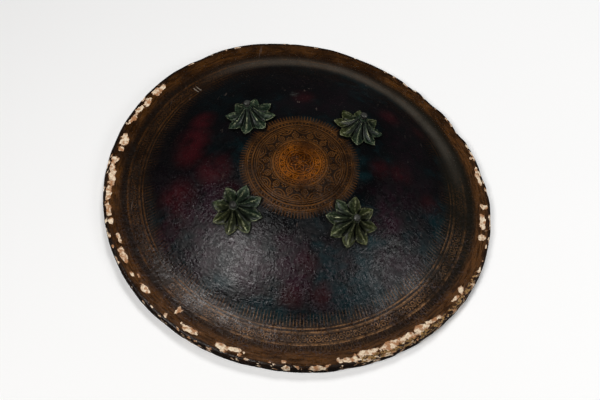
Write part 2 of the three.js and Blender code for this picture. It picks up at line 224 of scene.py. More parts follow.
def skin(rings, looped=False):
    """Points and faces of a closed skin over rings with the same number of points."""
    count = len(rings[0])
    faces = []
    for row in range(len(rings) if looped else len(rings) - 1):
        low, high = row * count, (row + 1) % len(rings) * count
        for n in range(count):
            m = (n + 1) % count
            faces.append((low + n, low + m, high + m, high + n))
    if not looped:
        faces.append(tuple(range(count)))
        faces.append(tuple(reversed(range((len(rings) - 1) * count, len(rings) * count))))
    return [point for ring in rings for point in ring], faces


def turned(outline, steps, place=Matrix()):
    """An outline of (radius, height), from the axis round to the axis, turned about it."""
    points, faces, rows = [], [], []
    for radius, height in outline:
        angles = circle(steps) if radius else [0.0]
        rows.append(list(range(len(points), len(points) + len(angles))))
        points += [place @ Vector(around(radius, angle, height)) for angle in angles]
    closed = outline[0][0] != 0
    for low, high in zip(rows, rows[1:] + rows[:1]) if closed else zip(rows, rows[1:]):
        for n in range(steps):
            m = (n + 1) % steps
            if len(low) == 1:
                faces.append((low[0], high[m], high[n]))
            elif len(high) == 1:
                faces.append((low[n], low[m], high[0]))
            else:
                faces.append((low[n], low[m], high[m], high[n]))
    return points, faces


def rounded(outline, radius, steps=3):
    """The same outline with its corners rounded off, but for those on the axis."""
    result = []
    closed = outline[0][0] != 0
    for n, point in enumerate(outline):
        if not closed and n in (0, len(outline) - 1):
            result.append(point)
            continue
        here = Vector(point)
        before = Vector(outline[n - 1]) - here
        after = Vector(outline[(n + 1) % len(outline)]) - here
        cut = min(radius, 0.45 * before.length, 0.45 * after.length)
        start, end = here + before.normalized() * cut, here + after.normalized() * cut
        for step in range(steps + 1):
            share = step / steps
            result.append(tuple(start.lerp(here, share).lerp(here.lerp(end, share), share)))
    return result


def bent_wire(path, radii, sides):
    """A round wire along a looped path, with its radius at each point."""
    rings = []
    side = None
    for n, (point, radius) in enumerate(zip(path, radii)):
        along = (path[(n + 1) % len(path)] - path[n - 1]).normalized()
        if side is None:
            side = along.orthogonal().normalized()
        side = (side - along * side.dot(along)).normalized()
        across = along.cross(side)
        rings.append([point + radius * (math.cos(angle) * side + math.sin(angle) * across)
                      for angle in circle(sides)])
    return skin(rings, looped=True)


def bake_modifiers(piece):
    """Turns what the modifiers make into the piece's own mesh, and removes them."""
    seen = piece.evaluated_get(bpy.context.evaluated_depsgraph_get())
    mesh = bpy.data.meshes.new_from_object(seen)
    old = piece.data
    piece.modifiers.clear()
    piece.data = mesh
    bpy.data.meshes.remove(old)
    mesh.name = piece.name


def combine(piece, operation, points, faces):
    """Joins a closed skin to a piece, or cuts it away."""
    other = make_piece("other_skin", points, faces)
    boolean = piece.modifiers.new("combine", "BOOLEAN")
    boolean.operation, boolean.solver, boolean.object = operation, "MANIFOLD", other
    bake_modifiers(piece)
    bpy.data.objects.remove(other)


def united(name, first, *others):
    """Closed skins that meet, merged into one solid."""
    whole = make_piece(name, *first)
    for other in others:
        combine(whole, "UNION", *other)
    return whole


def note_values(piece, name, values):
    """Keeps one number for each point of a mesh, which its material can read."""
    attribute = piece.data.attributes.new(name, "FLOAT", "POINT")
    attribute.data.foreach_set("value", np.asarray(values, np.float32))


def finish_piece(piece, materials, node, body="shield"):
    """Dresses a piece, hangs it on the body that it rides on, and hides the solid that it stands for."""
    piece.data.materials.clear()
    for material in materials:
        piece.data.materials.append(material)
    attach(piece, body)
    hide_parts(node)
    return piece


# %% [markdown]
# ## Node trees written as sums
#
# The gilded bands are drawn with arithmetic on the distance from the crown and the angle
# round it. A tree of a hundred Math nodes is hard to read, so this small class lets a
# node's output be added and multiplied like a number, and each sign makes its node. It
# also remembers the tree that is being built, so that no helper has to be told.


# %% A wire in a node tree that adds up like a number
class Wire:
    tree = None

    def __init__(self, socket):
        self.socket = socket

    def beside(self, output):
        """Another output of the same node."""
        return Wire(self.socket.node.outputs[output])

    def maths(self, operation, *others, clamp=False):
        return add_node("ShaderNodeMath", self, *others, operation=operation, use_clamp=clamp)

    def __add__(self, other):
        return self.maths("ADD", other)

    def __sub__(self, other):
        return self.maths("SUBTRACT", other)

    def __rsub__(self, other):
        return self.maths("MULTIPLY", -1.0) + other

    def __mul__(self, other):
        return self.maths("MULTIPLY", other)

    def __truediv__(self, other):
        return self.maths("DIVIDE", other)

    __radd__ = __add__
    __rmul__ = __mul__

    def size(self):
        return self.maths("ABSOLUTE")

    def cosine(self):
        return self.maths("COSINE")

    def fraction(self):
        return self.maths("FRACT")

    def clamped(self):
        return self.maths("ADD", 0.0, clamp=True)

    def to(self, low, high, start=0.0, end=1.0):
        """Start below low, end above high, and a smooth change between."""
        return add_node("ShaderNodeMapRange", interpolation_type="SMOOTHSTEP", Value=self,
                        From_Min=low, From_Max=high, To_Min=start, To_Max=end)


def plug(socket, value):
    """Joins a wire to a socket, or sets the socket's own value. A colour has three numbers."""
    if isinstance(value, Wire):
        Wire.tree.links.new(value.socket, socket)
    else:
        socket.default_value = (*value, 1.0) if socket.type == "RGBA" else value


def add_node(kind, *values, output=0, **named):
    """A node in the tree that is being built, and one wire that leaves it.

    A name in small letters is a setting of the node, and one with a capital is a socket.
    """
    node = Wire.tree.nodes.new(kind)
    sockets = dict(enumerate(values))
    for name, value in named.items():
        if name[0].islower():
            setattr(node, name, value)
        else:
            sockets[name.replace("_", " ")] = value
    for name, value in sockets.items():
        plug(node.inputs[name], value)
    return Wire(node.outputs[output])


def most_of(*wires):
    """The highest of several wires."""
    return reduce(lambda one, other: one.maths("MAXIMUM", other), wires)


def length_of(across, along):
    return (across * across + along * along).maths("SQRT")


def inside(value, low, high, soft=0.4):
    """1 between two limits and 0 outside them."""
    return value.to(low - soft, low + soft) * value.to(high - soft, high + soft, 1.0, 0.0)


def line(value, at, width, soft=0.35):
    """1 on a line of that width and 0 beside it."""
    return (value - at).size().to(width / 2, width / 2 + soft, 1.0, 0.0)


def clouds_at(place, scale, detail=3.0, roughness=0.55, warp=0.0):
    """Noise from 0 to 1."""
    return add_node("ShaderNodeTexNoise", Vector=place, Scale=scale, Detail=detail,
                    Roughness=roughness, Distortion=warp)


def stretched(place, scale, turn=0.0, move=(0.0, 0.0, 0.0)):
    return add_node("ShaderNodeMapping", Vector=place, Scale=scale, Rotation=(0.0, 0.0, turn), Location=move)


def mixed(share, low, high):
    """One colour turning into another."""
    result = add_node("ShaderNodeMix", share, data_type="RGBA", output=2)
    for socket, colour in zip(result.socket.node.inputs[6:8], (low, high)):
        plug(socket, colour)
    return result


def coated(colour, *coats):
    """A colour under coats of others, each as (how much of it, its colour)."""
    for share, coat in coats:
        colour = mixed(share, colour, coat)
    return colour


def own_places():
    return add_node("ShaderNodeTexCoord", output="Object")


def own_attribute(name, output="Fac"):
    return add_node("ShaderNodeAttribute", attribute_name=name, output=output)


def round_places(place):
    """Distance from the middle in millimetres, and angle."""
    parts = add_node("ShaderNodeSeparateXYZ", place)
    x, y = parts * 1000.0, parts.beside("Y") * 1000.0
    return length_of(x, y), y.maths("ARCTAN2", x)


def new_tree(kind, name, inputs, outputs):
    """Starts a node group, and gives its input wires by name."""
    Wire.tree = bpy.data.node_groups.new(name, f"{kind}NodeTree")
    for way, sockets in (("INPUT", inputs), ("OUTPUT", outputs)):
        for label, socket in sockets.items():
            Wire.tree.interface.new_socket(name=label, in_out=way, socket_type=f"NodeSocket{socket}")
    source = Wire.tree.nodes.new("NodeGroupInput")
    return {label: Wire(source.outputs[label]) for label in inputs}


def close_tree(**results):
    """Ends a node group with what it puts out."""
    node = Wire.tree.nodes.new("NodeGroupOutput")
    for label, value in results.items():
        plug(node.inputs[label], value)
    return Wire.tree


def use_group(group, **values):
    """Places a group in a material, and gives its output wires by name."""
    node = add_node("ShaderNodeGroup", node_tree=group, **values).socket.node
    return {socket.name: Wire(socket) for socket in node.outputs}


def new_finish(name):
    """Starts a material."""
    material = bpy.data.materials.new(name)
    material.use_nodes = True
    Wire.tree = material.node_tree
    return material


def shade(**values):
    """Sets sockets of the material's main shader."""
    shader = Wire.tree.nodes["Principled BSDF"]
    for label, value in values.items():
        plug(shader.inputs[label.replace("_", " ")], value)


def relief(height, distance, strength):
    """Bump from a height between 0 and 1, which stands for a distance in millimetres."""
    return add_node("ShaderNodeBump", Strength=strength, Distance=distance * MM, Height=height)


print("makers and node helpers are ready")

# %% [markdown]
# ## Effects that several finishes share
#
# Grain, mottling and scratches come back on leather, lacquer, bronze and iron, so each is
# a group made once. A group gives masks and heights. The finish decides what colour they
# become.


# %% Shared effect groups
def make_grain_group():
    """Leather grain: small cells with furrows between them."""
    given = new_tree("Shader", "leather grain", {"Place": "Vector", "Cell": "Float"},
                     {"Height": "Float", "Furrow": "Float"})
    place = given["Place"]
    cells = add_node("ShaderNodeTexVoronoi", feature="DISTANCE_TO_EDGE", Vector=place, Scale=given["Cell"],
                     output="Distance")
    furrow = cells.to(0.02, 0.3, 1.0, 0.0) * clouds_at(place, 170.0).to(0.36, 0.62, 0.1, 1.0)
    broad = clouds_at(place, 90.0, 4.0)
    return close_tree(Height=(1.0 - furrow) * 0.5 + broad * 0.9, Furrow=furrow)


def make_mottle_group():
    """Soft clouds and small specks, for colour that has aged unevenly."""
    given = new_tree("Shader", "mottle", {"Place": "Vector", "Scale": "Float"},
                     {"Cloud": "Float", "Speck": "Float"})
    cloud = clouds_at(given["Place"], given["Scale"], 4.0, 0.5)
    speck = clouds_at(given["Place"], given["Scale"] * 9.0, 2.0, 0.5)
    return close_tree(Cloud=cloud.to(0.34, 0.66), Speck=speck.to(0.58, 0.7))


def make_scratch_group():
    """Fine scratches in two directions."""
    given = new_tree("Shader", "scratches", {"Place": "Vector", "Amount": "Float"}, {"Scratch": "Float"})
    marks = []
    for turn, wave in ((0.35, 26.0), (-0.9, 31.0)):
        drawn_out = stretched(given["Place"], (1.0, 0.06, 1.0), turn)
        thread = clouds_at(drawn_out, wave * 12, 1.0).to(0.70, 0.735)
        marks.append(thread * clouds_at(given["Place"], wave, 2.0).to(0.56, 0.66))
    return close_tree(Scratch=(most_of(*marks) * given["Amount"]).clamped())


grain_group = make_grain_group()
mottle_group = make_mottle_group()
scratch_group = make_scratch_group()


def aged(place, clouds, scratches=None, cell=None):
    """Clouds and specks, and the scratches and grain that a finish has, by name."""
    wires = use_group(mottle_group, Place=place, Scale=clouds)
    if scratches:
        wires |= use_group(scratch_group, Place=place, Amount=scratches)
    if cell:
        wires |= use_group(grain_group, Place=place, Cell=cell)
    return SimpleNamespace(**{name.lower(): wire for name, wire in wires.items()})


print("shared groups:", len(bpy.data.node_groups))

# %% [markdown]
# ## The gilded bands
#
# The gilder turned the shield round and laid each band ring by ring: fine lines, a comb
# of strokes that fades into the dome, a vine with curls, and lobes towards the rim. The
# medallion round the crown has the same parts, closer together. The tree works on a
# place before the hide dried out of round, which the mesh carries with it, so that the
# bands follow the real outline as gilding that dried with the hide does.


# %% The gilded bands as one group
def make_gilding_group():
    given = new_tree("Shader", "gilded bands", {"Place": "Vector"},
                     dict.fromkeys(("Gold", "Ground", "Centre", "Angle", "Radius"), "Float"))
    place = given["Place"]
    radius, angle = round_places(place)
    radius = radius + (clouds_at(place, 60.0, 2.0) - 0.5) * 0.8

    def cell(count, low, high):
        """Place in a cell of a band, in millimetres from its middle, and the cell's width."""
        pitch = math.pi * (low + high) / count
        across = ((angle * (count / (2 * math.pi))).fraction() - 0.5) * pitch
        return (across, radius - (low + high) / 2), pitch

    def away(spot, at):
        """Distance from a point in the cell or from its mirrored twin."""
        return length_of(spot[0].size() - at[0], spot[1] - at[1])

    def ring_at(spot, at, size, width):
        return line(away(spot, at), size, width)

    def dot_at(spot, at, size):
        return away(spot, at).to(size, size + 0.4, 1.0, 0.0)

    def comb(count, low, high, share):
        (across, _), pitch = cell(count, low, high)
        stroke = across.size().to(pitch * share / 2, pitch * share / 2 + 0.3, 1.0, 0.0)
        return stroke * inside(radius, low, high)

    # The medallion: a rosette, curls round it, a band of arches and rosettes, a comb
    petal = (angle * 8.0).cosine()
    marks = [line(radius + petal * 2.4, 8.2, 0.8), line(radius - petal * 1.6, 4.6, 0.7),
             line(radius, 1.6, 1.2), line(radius + petal * 1.2, 12.4, 0.7)]
    fine_lines = [(15.0, 1.0), (23.3, 1.1), (30.6, 1.9), (33.0, 0.5), (46.6, 0.5), (48.7, 1.0), (51.0, 0.5),
                  (54.0, 1.3), (59.2, 1.4), (61.3, 0.5)]
    marks += [line(radius, at, width) for at, width in fine_lines]
    spot, pitch = cell(16, 15.5, 22.8)
    curls = most_of(ring_at(spot, (0.0, 0.4), 2.3, 0.8), dot_at(spot, (pitch / 2, -1.4), 0.9),
                    dot_at(spot, (0.0, 0.4), 0.7))
    marks.append(curls * inside(radius, 15.5, 22.8))
    spot, pitch = cell(40, 24.0, 29.5)
    marks.append(ring_at(spot, (0.0, 0.0), 1.5, 0.6) * inside(radius, 24.0, 29.5))
    spot, pitch = cell(14, 33.0, 46.5)
    arches = [ring_at(spot, (0.0, 7.6), 6.3, 0.9), ring_at(spot, (0.0, 7.6), 3.6, 0.7)]
    rosette = [ring_at(spot, (pitch / 2, -1.6), 3.4, 0.8), ring_at(spot, (pitch / 2, -1.6), 1.5, 0.6)]
    beads = [dot_at(spot, (0.0, -3.6), 0.9), dot_at(spot, (2.6, -4.6), 0.8),
             dot_at(spot, (pitch / 2, 3.8), 0.9), dot_at(spot, (pitch / 2 - 2.4, 5.4), 0.7)]
    marks.append(most_of(*arches, *rosette, *beads) * inside(radius, 33.4, 46.2))
    spot, pitch = cell(88, 54.8, 58.6)
    marks.append(dot_at(spot, (0.0, 0.0), 0.9) * 0.7)
    marks.append(comb(118, 61.8, 68.4, 0.26) * 0.6)

    # The band: a comb, lines, a vine with curls, a line, lobes that fade into the rim
    marks.append(comb(290, 163.5, 177.0, 0.16) * radius.to(161.0, 172.0) * 0.7)
    band_lines = [(179.2, 1.1, 1.0), (182.9, 1.2, 1.0), (184.4, 0.5, 0.6), (195.2, 0.5, 0.6),
                  (196.8, 1.3, 0.95)]
    marks += [line(radius, at, width) * strength for at, width, strength in band_lines]
    spot, pitch = cell(72, 184.8, 195.0)
    stalk = (spot[1] - (spot[0] * (2 * math.pi / pitch)).cosine() * 2.6).size().to(0.4, 0.8, 1.0, 0.0)
    vine = most_of(stalk, ring_at(spot, (0.0, -1.2), 2.0, 0.7), ring_at(spot, (pitch / 2, 1.2), 2.0, 0.7),
                   dot_at(spot, (pitch / 4, 3.2), 0.8), dot_at(spot, (pitch / 4, -3.2), 0.8))
    marks.append(vine * inside(radius, 184.9, 194.9) * 0.8)
    spot, pitch = cell(214, 198.0, 207.0)
    lobe = (length_of(spot[0] * 1.9, spot[1] + 1.0) - 4.0).size().to(0.35, 0.9, 1.0, 0.0)
    marks.append(lobe * inside(radius, 197.6, 206.0) * 0.3)

    rubbed = clouds_at(place, 26.0, 5.0, 0.65).to(0.36, 0.6, 0.12, 1.0)
    grit = clouds_at(place, 330.0, 4.0, 0.7).to(0.36, 0.58, 0.15, 1.0)
    grit = most_of(grit, radius.to(66.0, 80.0, 0.75, 0.0))
    ground = most_of(radius.to(57.0, 68.0, 1.0, 0.0), radius.to(168.0, 181.0))
    return close_tree(Gold=(most_of(*marks) * rubbed * grit).clamped(), Ground=ground,
                      Centre=radius.to(18.0, 34.0, 1.0, 0.0), Angle=angle, Radius=radius)


gilding_group = make_gilding_group()
print("gilding group:", len(gilding_group.nodes), "nodes")

# %% [markdown]
# ## The finish of the face
#
# Under the gilding lies a brown ground, and between the two bands a nearly black lacquer
# that handling has rubbed through to red. Where the lacquer has flaked off near the edge,
# the pale ground shows, and where that has gone too, the raw hide. The mesh says where,
# with two values at each point, and the tree makes the border between them crisp. The
# finish is built up as its maker did: a colour, then coat after coat over it.

# %% Masks of the face
# Where the lacquer is rubbed to red: distance from the crown, angle, size and strength
red_patches = [
    (135, 152, 20, 0.7), (131, 166, 28, 0.9), (97, -173, 26, 0.8), (129, 173, 26, 0.7),
    (141, -162, 30, 0.8), (149, -151, 22, 0.7), (149, -74, 22, 0.5), (148, -88, 20, 0.45),
    (116, -80, 20, 0.3), (145, 45, 18, 0.45), (169, 34, 14, 0.4), (93, 7, 18, 0.45), (118, 7, 20, 0.5),
    (154, -5, 18, 0.4), (106, 92, 17, 0.4), (84, -152, 16, 0.3), (122, -63, 20, 0.3),
]
# Where scratches cross a dent, in the same way
scar_patches = [(137, -33, 9, 1.0), (127, -116, 8, 0.8), (110, 98, 7, 0.6)]
stroke_radius = 160.0
gouge_angle = 2.374


def patch_mask(place, patches):
    """Soft round patches on the outside of the dome."""
    masks = []
    for radius, degrees, size, strength in patches:
        middle = Vector(around(radius, math.radians(degrees), face_height(outer_face, radius))) * MM
        away = add_node("ShaderNodeVectorMath", place, middle, operation="DISTANCE", output="Value")
        masks.append(away.to(0.1 * size * MM, 1.15 * size * MM, strength, 0.0))
    return most_of(*masks)


def strokes(polar, across, along, detail=2.0):
    """Noise drawn out round the rim or across it, by lengths in millimetres at the stroke radius."""
    radius, angle = polar
    turns = stroke_radius / along
    place = add_node("ShaderNodeCombineXYZ", angle.cosine() * turns, angle.maths("SINE") * turns,
                     radius * (1.0 / across))
    return clouds_at(place, 1.0, detail)


def flower_shade_ring(place):
    """Painted shade with dirt: a dark line round the outline of each flower, where its petals stand over the
    lacquer.
    """
    masks = []
    for corner in corners:
        seat = boss_place(corner)
        sides = []
        for column in range(2):
            way = seat.to_3x3().col[column].normalized()
            along = add_node("ShaderNodeVectorMath", place, way, operation="DOT_PRODUCT", output="Value")
            sides.append(along * 1000.0 - seat.translation.dot(way))
        turn = sides[1].maths("ARCTAN2", sides[0]) * (petal_count / (2 * math.pi))
        turn = (turn - boss_turn_shares[corner] + 0.5).fraction()
        tip = 1.0 - (turn - 0.5).size() * 2.0
        reach = tip.maths("POWER", 0.85) * (petal_reach * (1 - notch_share)) + petal_reach * notch_share
        masks.append((length_of(*sides) - reach).to(1.0, 4.4, 1.0, 0.0))
    return most_of(*masks)


def face_wires():
    """What the coats of the face share: places, the gilding and several clouds."""
    place = own_attribute("flat_place", "Vector")
    face = aged(place, 17.0, 1.0, 230.0)
    for name, wire in use_group(gilding_group, Place=place).items():
        setattr(face, name.lower(), wire)
    face.place, face.polar = place, (face.radius, face.angle)
    # Painted light and shade: 1 towards the front and the right, -1 towards the back and the left, outside
    # the medallion
    face.side = (face.angle + 1.1).cosine() * face.radius.to(80.0, 150.0)
    face.clouds = clouds_at(place, 22.0, 5.0, 0.62)
    face.fine = clouds_at(place, 420.0, 4.0, 0.65)
    return face


def towards(face, direction, low, high):
    """1 on the side of the shield that lies in a direction."""
    return (face.angle - direction).cosine().to(low, high)


print("red patches:", len(red_patches), "and scars:", len(scar_patches))


# %% Colours of the dome and of the ground
def dome_colour(face):
    """Nearly black lacquer that has aged to teal and plum in clouds, and is rubbed to red. The tints are
    stronger towards the front, and the back-left is darker as painted shade.
    """
    near = towards(face, -math.pi / 2, -0.1, 0.6) * face.radius.to(75.0, 105.0)
    blotches = clouds_at(face.place, 70.0, 4.0, 0.6, 0.6).to(0.36, 0.6, 0.25, 1.0)
    hue = clouds_at(stretched(face.place, (1.0, 1.0, 1.0), move=(3.0, 1.0, 2.0)), 13.0, 4.0, 0.6)
    rubbed = patch_mask(face.place, red_patches) * face.clouds.to(0.32, 0.6, 0.15, 1.0)
    return coated(
        mixed(face.cloud, (0.0015, 0.0016, 0.0019), (0.0038, 0.0038, 0.0044)),
        (hue.to(0.47, 0.62) * blotches * 0.9, (0.0024, 0.0118, 0.0140)),
        (hue.to(0.36, 0.52, 1.0, 0.0) * blotches * (near * 0.5 + 0.3), (0.0120, 0.0028, 0.0060)),
        (hue.to(0.46, 0.58) * near * blotches * 0.5, (0.0020, 0.0220, 0.0270)),
        (hue.to(0.38, 0.5, 1.0, 0.0) * near * blotches * 0.35, (0.0260, 0.0040, 0.0130)),
        # Painted shade: darker towards the back-left
        (towards(face, 2.5, 0.2, 0.9) * face.radius.to(85.0, 125.0) * 0.75, (0.0010, 0.0009, 0.0012)),
        (rubbed * face.fine.to(0.25, 0.55, 0.5, 1.0), (0.040, 0.0036, 0.0054)),
    )


def ground_colour(face, right):
    """The brown under the gilding: darker in its bands and on the right, golden in the middle, lighter
    towards the front as painted light and darker towards the back-left as painted shade.
    """
    band = most_of(inside(face.radius, 164.0, 206.0, 4.0), inside(face.radius, 24.0, 62.0, 3.0) * 1.2)
    band = band * (face.angle.cosine().size() * face.radius.to(80.0, 150.0) * 0.28 + 0.7)
    brushed = strokes(face.polar, 1.6, 11.0, 5.0)
    patchy = clouds_at(face.place, 45.0, 5.0, 0.6).to(0.35, 0.65)
    return coated(
        mixed(patchy, (0.022, 0.0080, 0.0016), (0.080, 0.0300, 0.0058)),
        # Painted light towards the front, and painted shade towards the back-left
        (face.side.to(-0.7, 0.7) * 0.5, (0.118, 0.052, 0.020)),
        (face.side.to(-0.5, -1.0) * 0.3, (0.012, 0.0046, 0.0014)),
        (band, (0.0062, 0.0042, 0.0030)),
        (brushed.to(0.44, 0.6) * 0.7, (0.0085, 0.0034, 0.0012)),
        (right * 0.7, (0.0080, 0.0078, 0.0052)),
        (face.fine.to(0.55, 0.7) * 0.5, (0.0055, 0.0035, 0.0022)),
        (face.centre, mixed(face.cloud, (0.026, 0.0070, 0.0006), (0.058, 0.0170, 0.0010))),
    )


print("coats of the dome and the ground are ready")


# %% Lacquered face
def make_lacquer():
    material = new_finish("lacquered hide, face")
    face = face_wires()
    place, radius = face.place, face.radius

    # Where the shine has gone
    patches = clouds_at(place, 60.0, 6.0, 0.68, 0.5).to(0.44, 0.58)
    combed = most_of(strokes(face.polar, 2.2, 8.0, 4.0).to(0.44, 0.58),
                     strokes(face.polar, 9.0, 2.2, 4.0).to(0.5, 0.62))
    dulled = clouds_at(place, 30.0, 5.0, 0.7, 0.8).to(0.48, 0.56)
    matt = (patches * 0.5 + combed * 0.4 + dulled * 0.6).clamped()
    # Painted glints: pale specks where the front half is shiny, with some scuffs
    glints_and_scuffs = (1.0 - matt) * towards(face, -math.pi / 2, -0.1, 0.6)
    glints_and_scuffs = glints_and_scuffs * radius.to(80.0, 105.0) * radius.to(206.0, 214.0, 1.0, 0.0)

    # The gilding, which is worn off at the top and on the right. It is fuller and paler towards the front,
    # which is painted light.
    right = towards(face, 0.3, 0.45, 0.95) * radius.to(150.0, 165.0) * radius.to(204.0, 211.0, 1.0, 0.0)
    top = towards(face, 1.3, 0.35, 0.85) * radius.to(150.0, 165.0) * radius.to(183.0, 191.0, 1.0, 0.0)
    kept = most_of(face.side.to(-0.7, 0.7, 0.5, 0.9), radius.to(70.0, 80.0, 0.95, 0.0))
    gold = (face.gold * kept * (1.0 - most_of(top * 0.85, right * 0.6))).clamped()
    bright = mixed(face.side.to(0.1, 0.9), (0.125, 0.048, 0.010), (0.30, 0.150, 0.062))
    bright = mixed(face.centre, bright, (0.31, 0.090, 0.004))

    # Dust with a painted sheen in the hollow of the rim, scars, two gouges, and painted shade with dirt
    # round the flowers
    hollow = inside(radius, 188.0, 197.0, 8.0) * towards(face, 1.2, 0.35, 0.9)
    hollow = hollow * face.clouds.to(0.25, 0.55, 0.5, 1.0)
    torn = most_of(strokes(face.polar, 0.9, 7.0).to(0.5, 0.6),
                   strokes(face.polar, 5.0, 0.9).to(0.54, 0.62))
    torn = torn * patch_mask(place, scar_patches)
    along = (face.angle - gouge_angle) * radius
    gouges = most_of(line(along, -1.5, 0.8), line(along, 2.6, 0.8)) * inside(radius, 181.0, 190.0, 1.5)
    shade_ring = flower_shade_ring(place)

    # Where the lacquer has flaked off to the chalk, and the chalk to the hide
    ragged = clouds_at(place, 330.0, 6.0, 0.72) - 0.5
    bare = own_attribute("flaked") + ragged * 1.5
    flaked = bare.to(0.45, 0.56)
    raw = (own_attribute("raw") + ragged * 0.8).to(0.42, 0.6)
    fibres = clouds_at(stretched(place, (1.0, 1.0, 3.0)), 330.0, 6.0, 0.7)
    chalk = mixed(clouds_at(place, 160.0, 3.0, 0.6).to(0.4, 0.6), (0.42, 0.205, 0.095), (0.86, 0.70, 0.51))
    chalk = mixed(fibres.to(0.5, 0.68) * 0.55, chalk, (0.20, 0.09, 0.045))
    hide = mixed(fibres.to(0.34, 0.6), (0.020, 0.010, 0.004), (0.36, 0.21, 0.075))

    colour = coated(
        mixed(face.ground * (1.0 - top * 0.85), dome_colour(face), ground_colour(face, right)),
        # Painted glints with some scuffs, in pale specks on the front half
        (glints_and_scuffs * face.fine.to(0.47, 0.64) * 0.4, (0.110, 0.092, 0.104)),
        (gold, bright),
        # Dust with a painted sheen in the hollow of the rim
        (hollow * (0.55 + face.fine * 0.4), (0.082, 0.072, 0.058)),
        (torn * 0.8, (0.060, 0.066, 0.060)),
        (gouges * 0.7, (0.30, 0.25, 0.20)),
        # Painted shade with dirt, in a line round each flower
        (shade_ring * 0.9, (0.0010, 0.0010, 0.0010)),
        (face.scratch * 0.35, (0.16, 0.12, 0.10)),
        (radius.to(219.5, 222.5) * 0.85, (0.0066, 0.0044, 0.0036)),
        (bare.to(0.26, 0.46) * 0.7, (0.145, 0.055, 0.015)),
        (flaked, chalk),
        (raw, hide),
        (own_attribute("shadow_line").to(0.3, 0.7) * 0.75, (0.010, 0.0055, 0.0035)),
    )
    dull = face.ground * 0.04 + matt * 0.22 + face.furrow * 0.2 + shade_ring * 0.2 + 0.07
    shade(Base_Color=colour, Roughness=(dull + flaked * 0.5 + face.gold * 0.04).clamped(),
          Specular_IOR_Level=0.32)

    worn = clouds_at(place, 520.0) * 0.35 + clouds_at(place, 110.0, 4.0) * 0.9
    uneven = clouds_at(place, 48.0) * 1.3 + clouds_at(place, 250.0, 4.0, 0.6) * 2.0
    hatched = (strokes(face.polar, 2.6, 13.0).to(0.36, 0.64)
               + strokes(face.polar, 11.0, 2.4).to(0.36, 0.64)) * radius.to(85.0, 150.0, 0.15, 1.0)
    height = worn + uneven + hatched * 0.3 + combed * 0.35 + face.height * 0.12 + face.gold * 0.3
    height = height - torn * 0.4 - face.scratch * 0.4 + flaked * fibres * 0.8
    shade(Normal=relief(height, 0.5, 0.52))
    return material


lacquer = make_lacquer()
print("lacquer:", len(lacquer.node_tree.nodes), "nodes")


# %% Inside of the bowl
def make_bowl_lining():
    """Plain red-brown lacquer brushed thinly on the inside of the hide, worn by the hand."""
    material = new_finish("lacquered hide, inside")
    place = own_places()
    age = aged(place, 11.0, 0.8, 430.0)
    brushed = strokes(round_places(place), 2.2, 26.0)
    colour = coated(
        mixed(age.cloud, (0.030, 0.0085, 0.0055), (0.066, 0.0205, 0.0115)),
        (age.speck * 0.7, (0.012, 0.006, 0.005)),
        (age.scratch * 0.5, (0.20, 0.11, 0.06)),
    )
    shade(Base_Color=colour, Roughness=age.cloud * 0.14 + age.furrow * 0.1 + 0.42,
          Normal=relief(age.height - age.scratch * 0.3 + brushed * 0.8, 0.4, 0.6))
    return material


bowl_lining = make_bowl_lining()
print("inside of the bowl:", len(bowl_lining.node_tree.nodes), "nodes")

# %% [markdown]
# ## The hide bowl
#
# The disc is the main piece. Its outline follows from four radii, so it is turned about
# the crown and then changed point by point: it dried out of round, the mould left it
# slightly uneven, and a couple of hundred years have chipped its edge. Only the rim needs
# a fine mesh, so it has twice as many columns as the dome.

# %% Rows of the bowl, from the crown over the edge and back inside
dome_columns, rim_columns = 360, 720
rim_start, rim_end_inside = 203.0, 212.0
dome_step, rim_step, wall_step, foot_step, inner_step = 2.6, 0.8, 0.9, 2.2, 3.6
corner_steps, foot_corner_steps = 7, 4
flat_end = bowl_radius - edge_corner_radius
foot_middle = bowl_radius - edge_foot_radius
corner_foot = rim_thickness - edge_corner_radius


def spread(low, high, step):
    count = max(1, round(abs(high - low) / step))
    return [low + (high - low) * n / count for n in range(count)]


def face_points(face, low, high, step):
    return [(radius, face_height(face, radius)) for radius in spread(low, high, step)]


def corner_points(radius, height, size, start, steps):
    """Points round a quarter of a circle, from an angle and downwards."""
    angles = [start - math.pi / 2 * n / steps for n in range(steps)]
    return [(radius + size * math.cos(angle), height + size * math.sin(angle)) for angle in angles]


edge_points = (
    corner_points(flat_end, corner_foot, edge_corner_radius, math.pi / 2, corner_steps)
    + [(bowl_radius, height) for height in spread(corner_foot, edge_foot_radius, wall_step)]
    + corner_points(foot_middle, edge_foot_radius, edge_foot_radius, 0.0, foot_corner_steps))
row_plan = [
    (face_points(outer_face, dome_step, rim_start, dome_step), dome_columns, "face"),
    (face_points(outer_face, rim_start, flat_end, rim_step), rim_columns, "face"),
    (edge_points, rim_columns, "edge"),
    ([(radius, 0.0) for radius in spread(foot_middle, rim_end_inside, foot_step)], rim_columns, "inside"),
    (face_points(inner_face, rim_end_inside, 0.0, inner_step), dome_columns, "inside"),
]
# Distance from the middle, height, columns and surface of each row
rows = [(*point, columns, surface) for points, columns, surface in row_plan for point in points]
print("rows of the bowl:", len(rows))

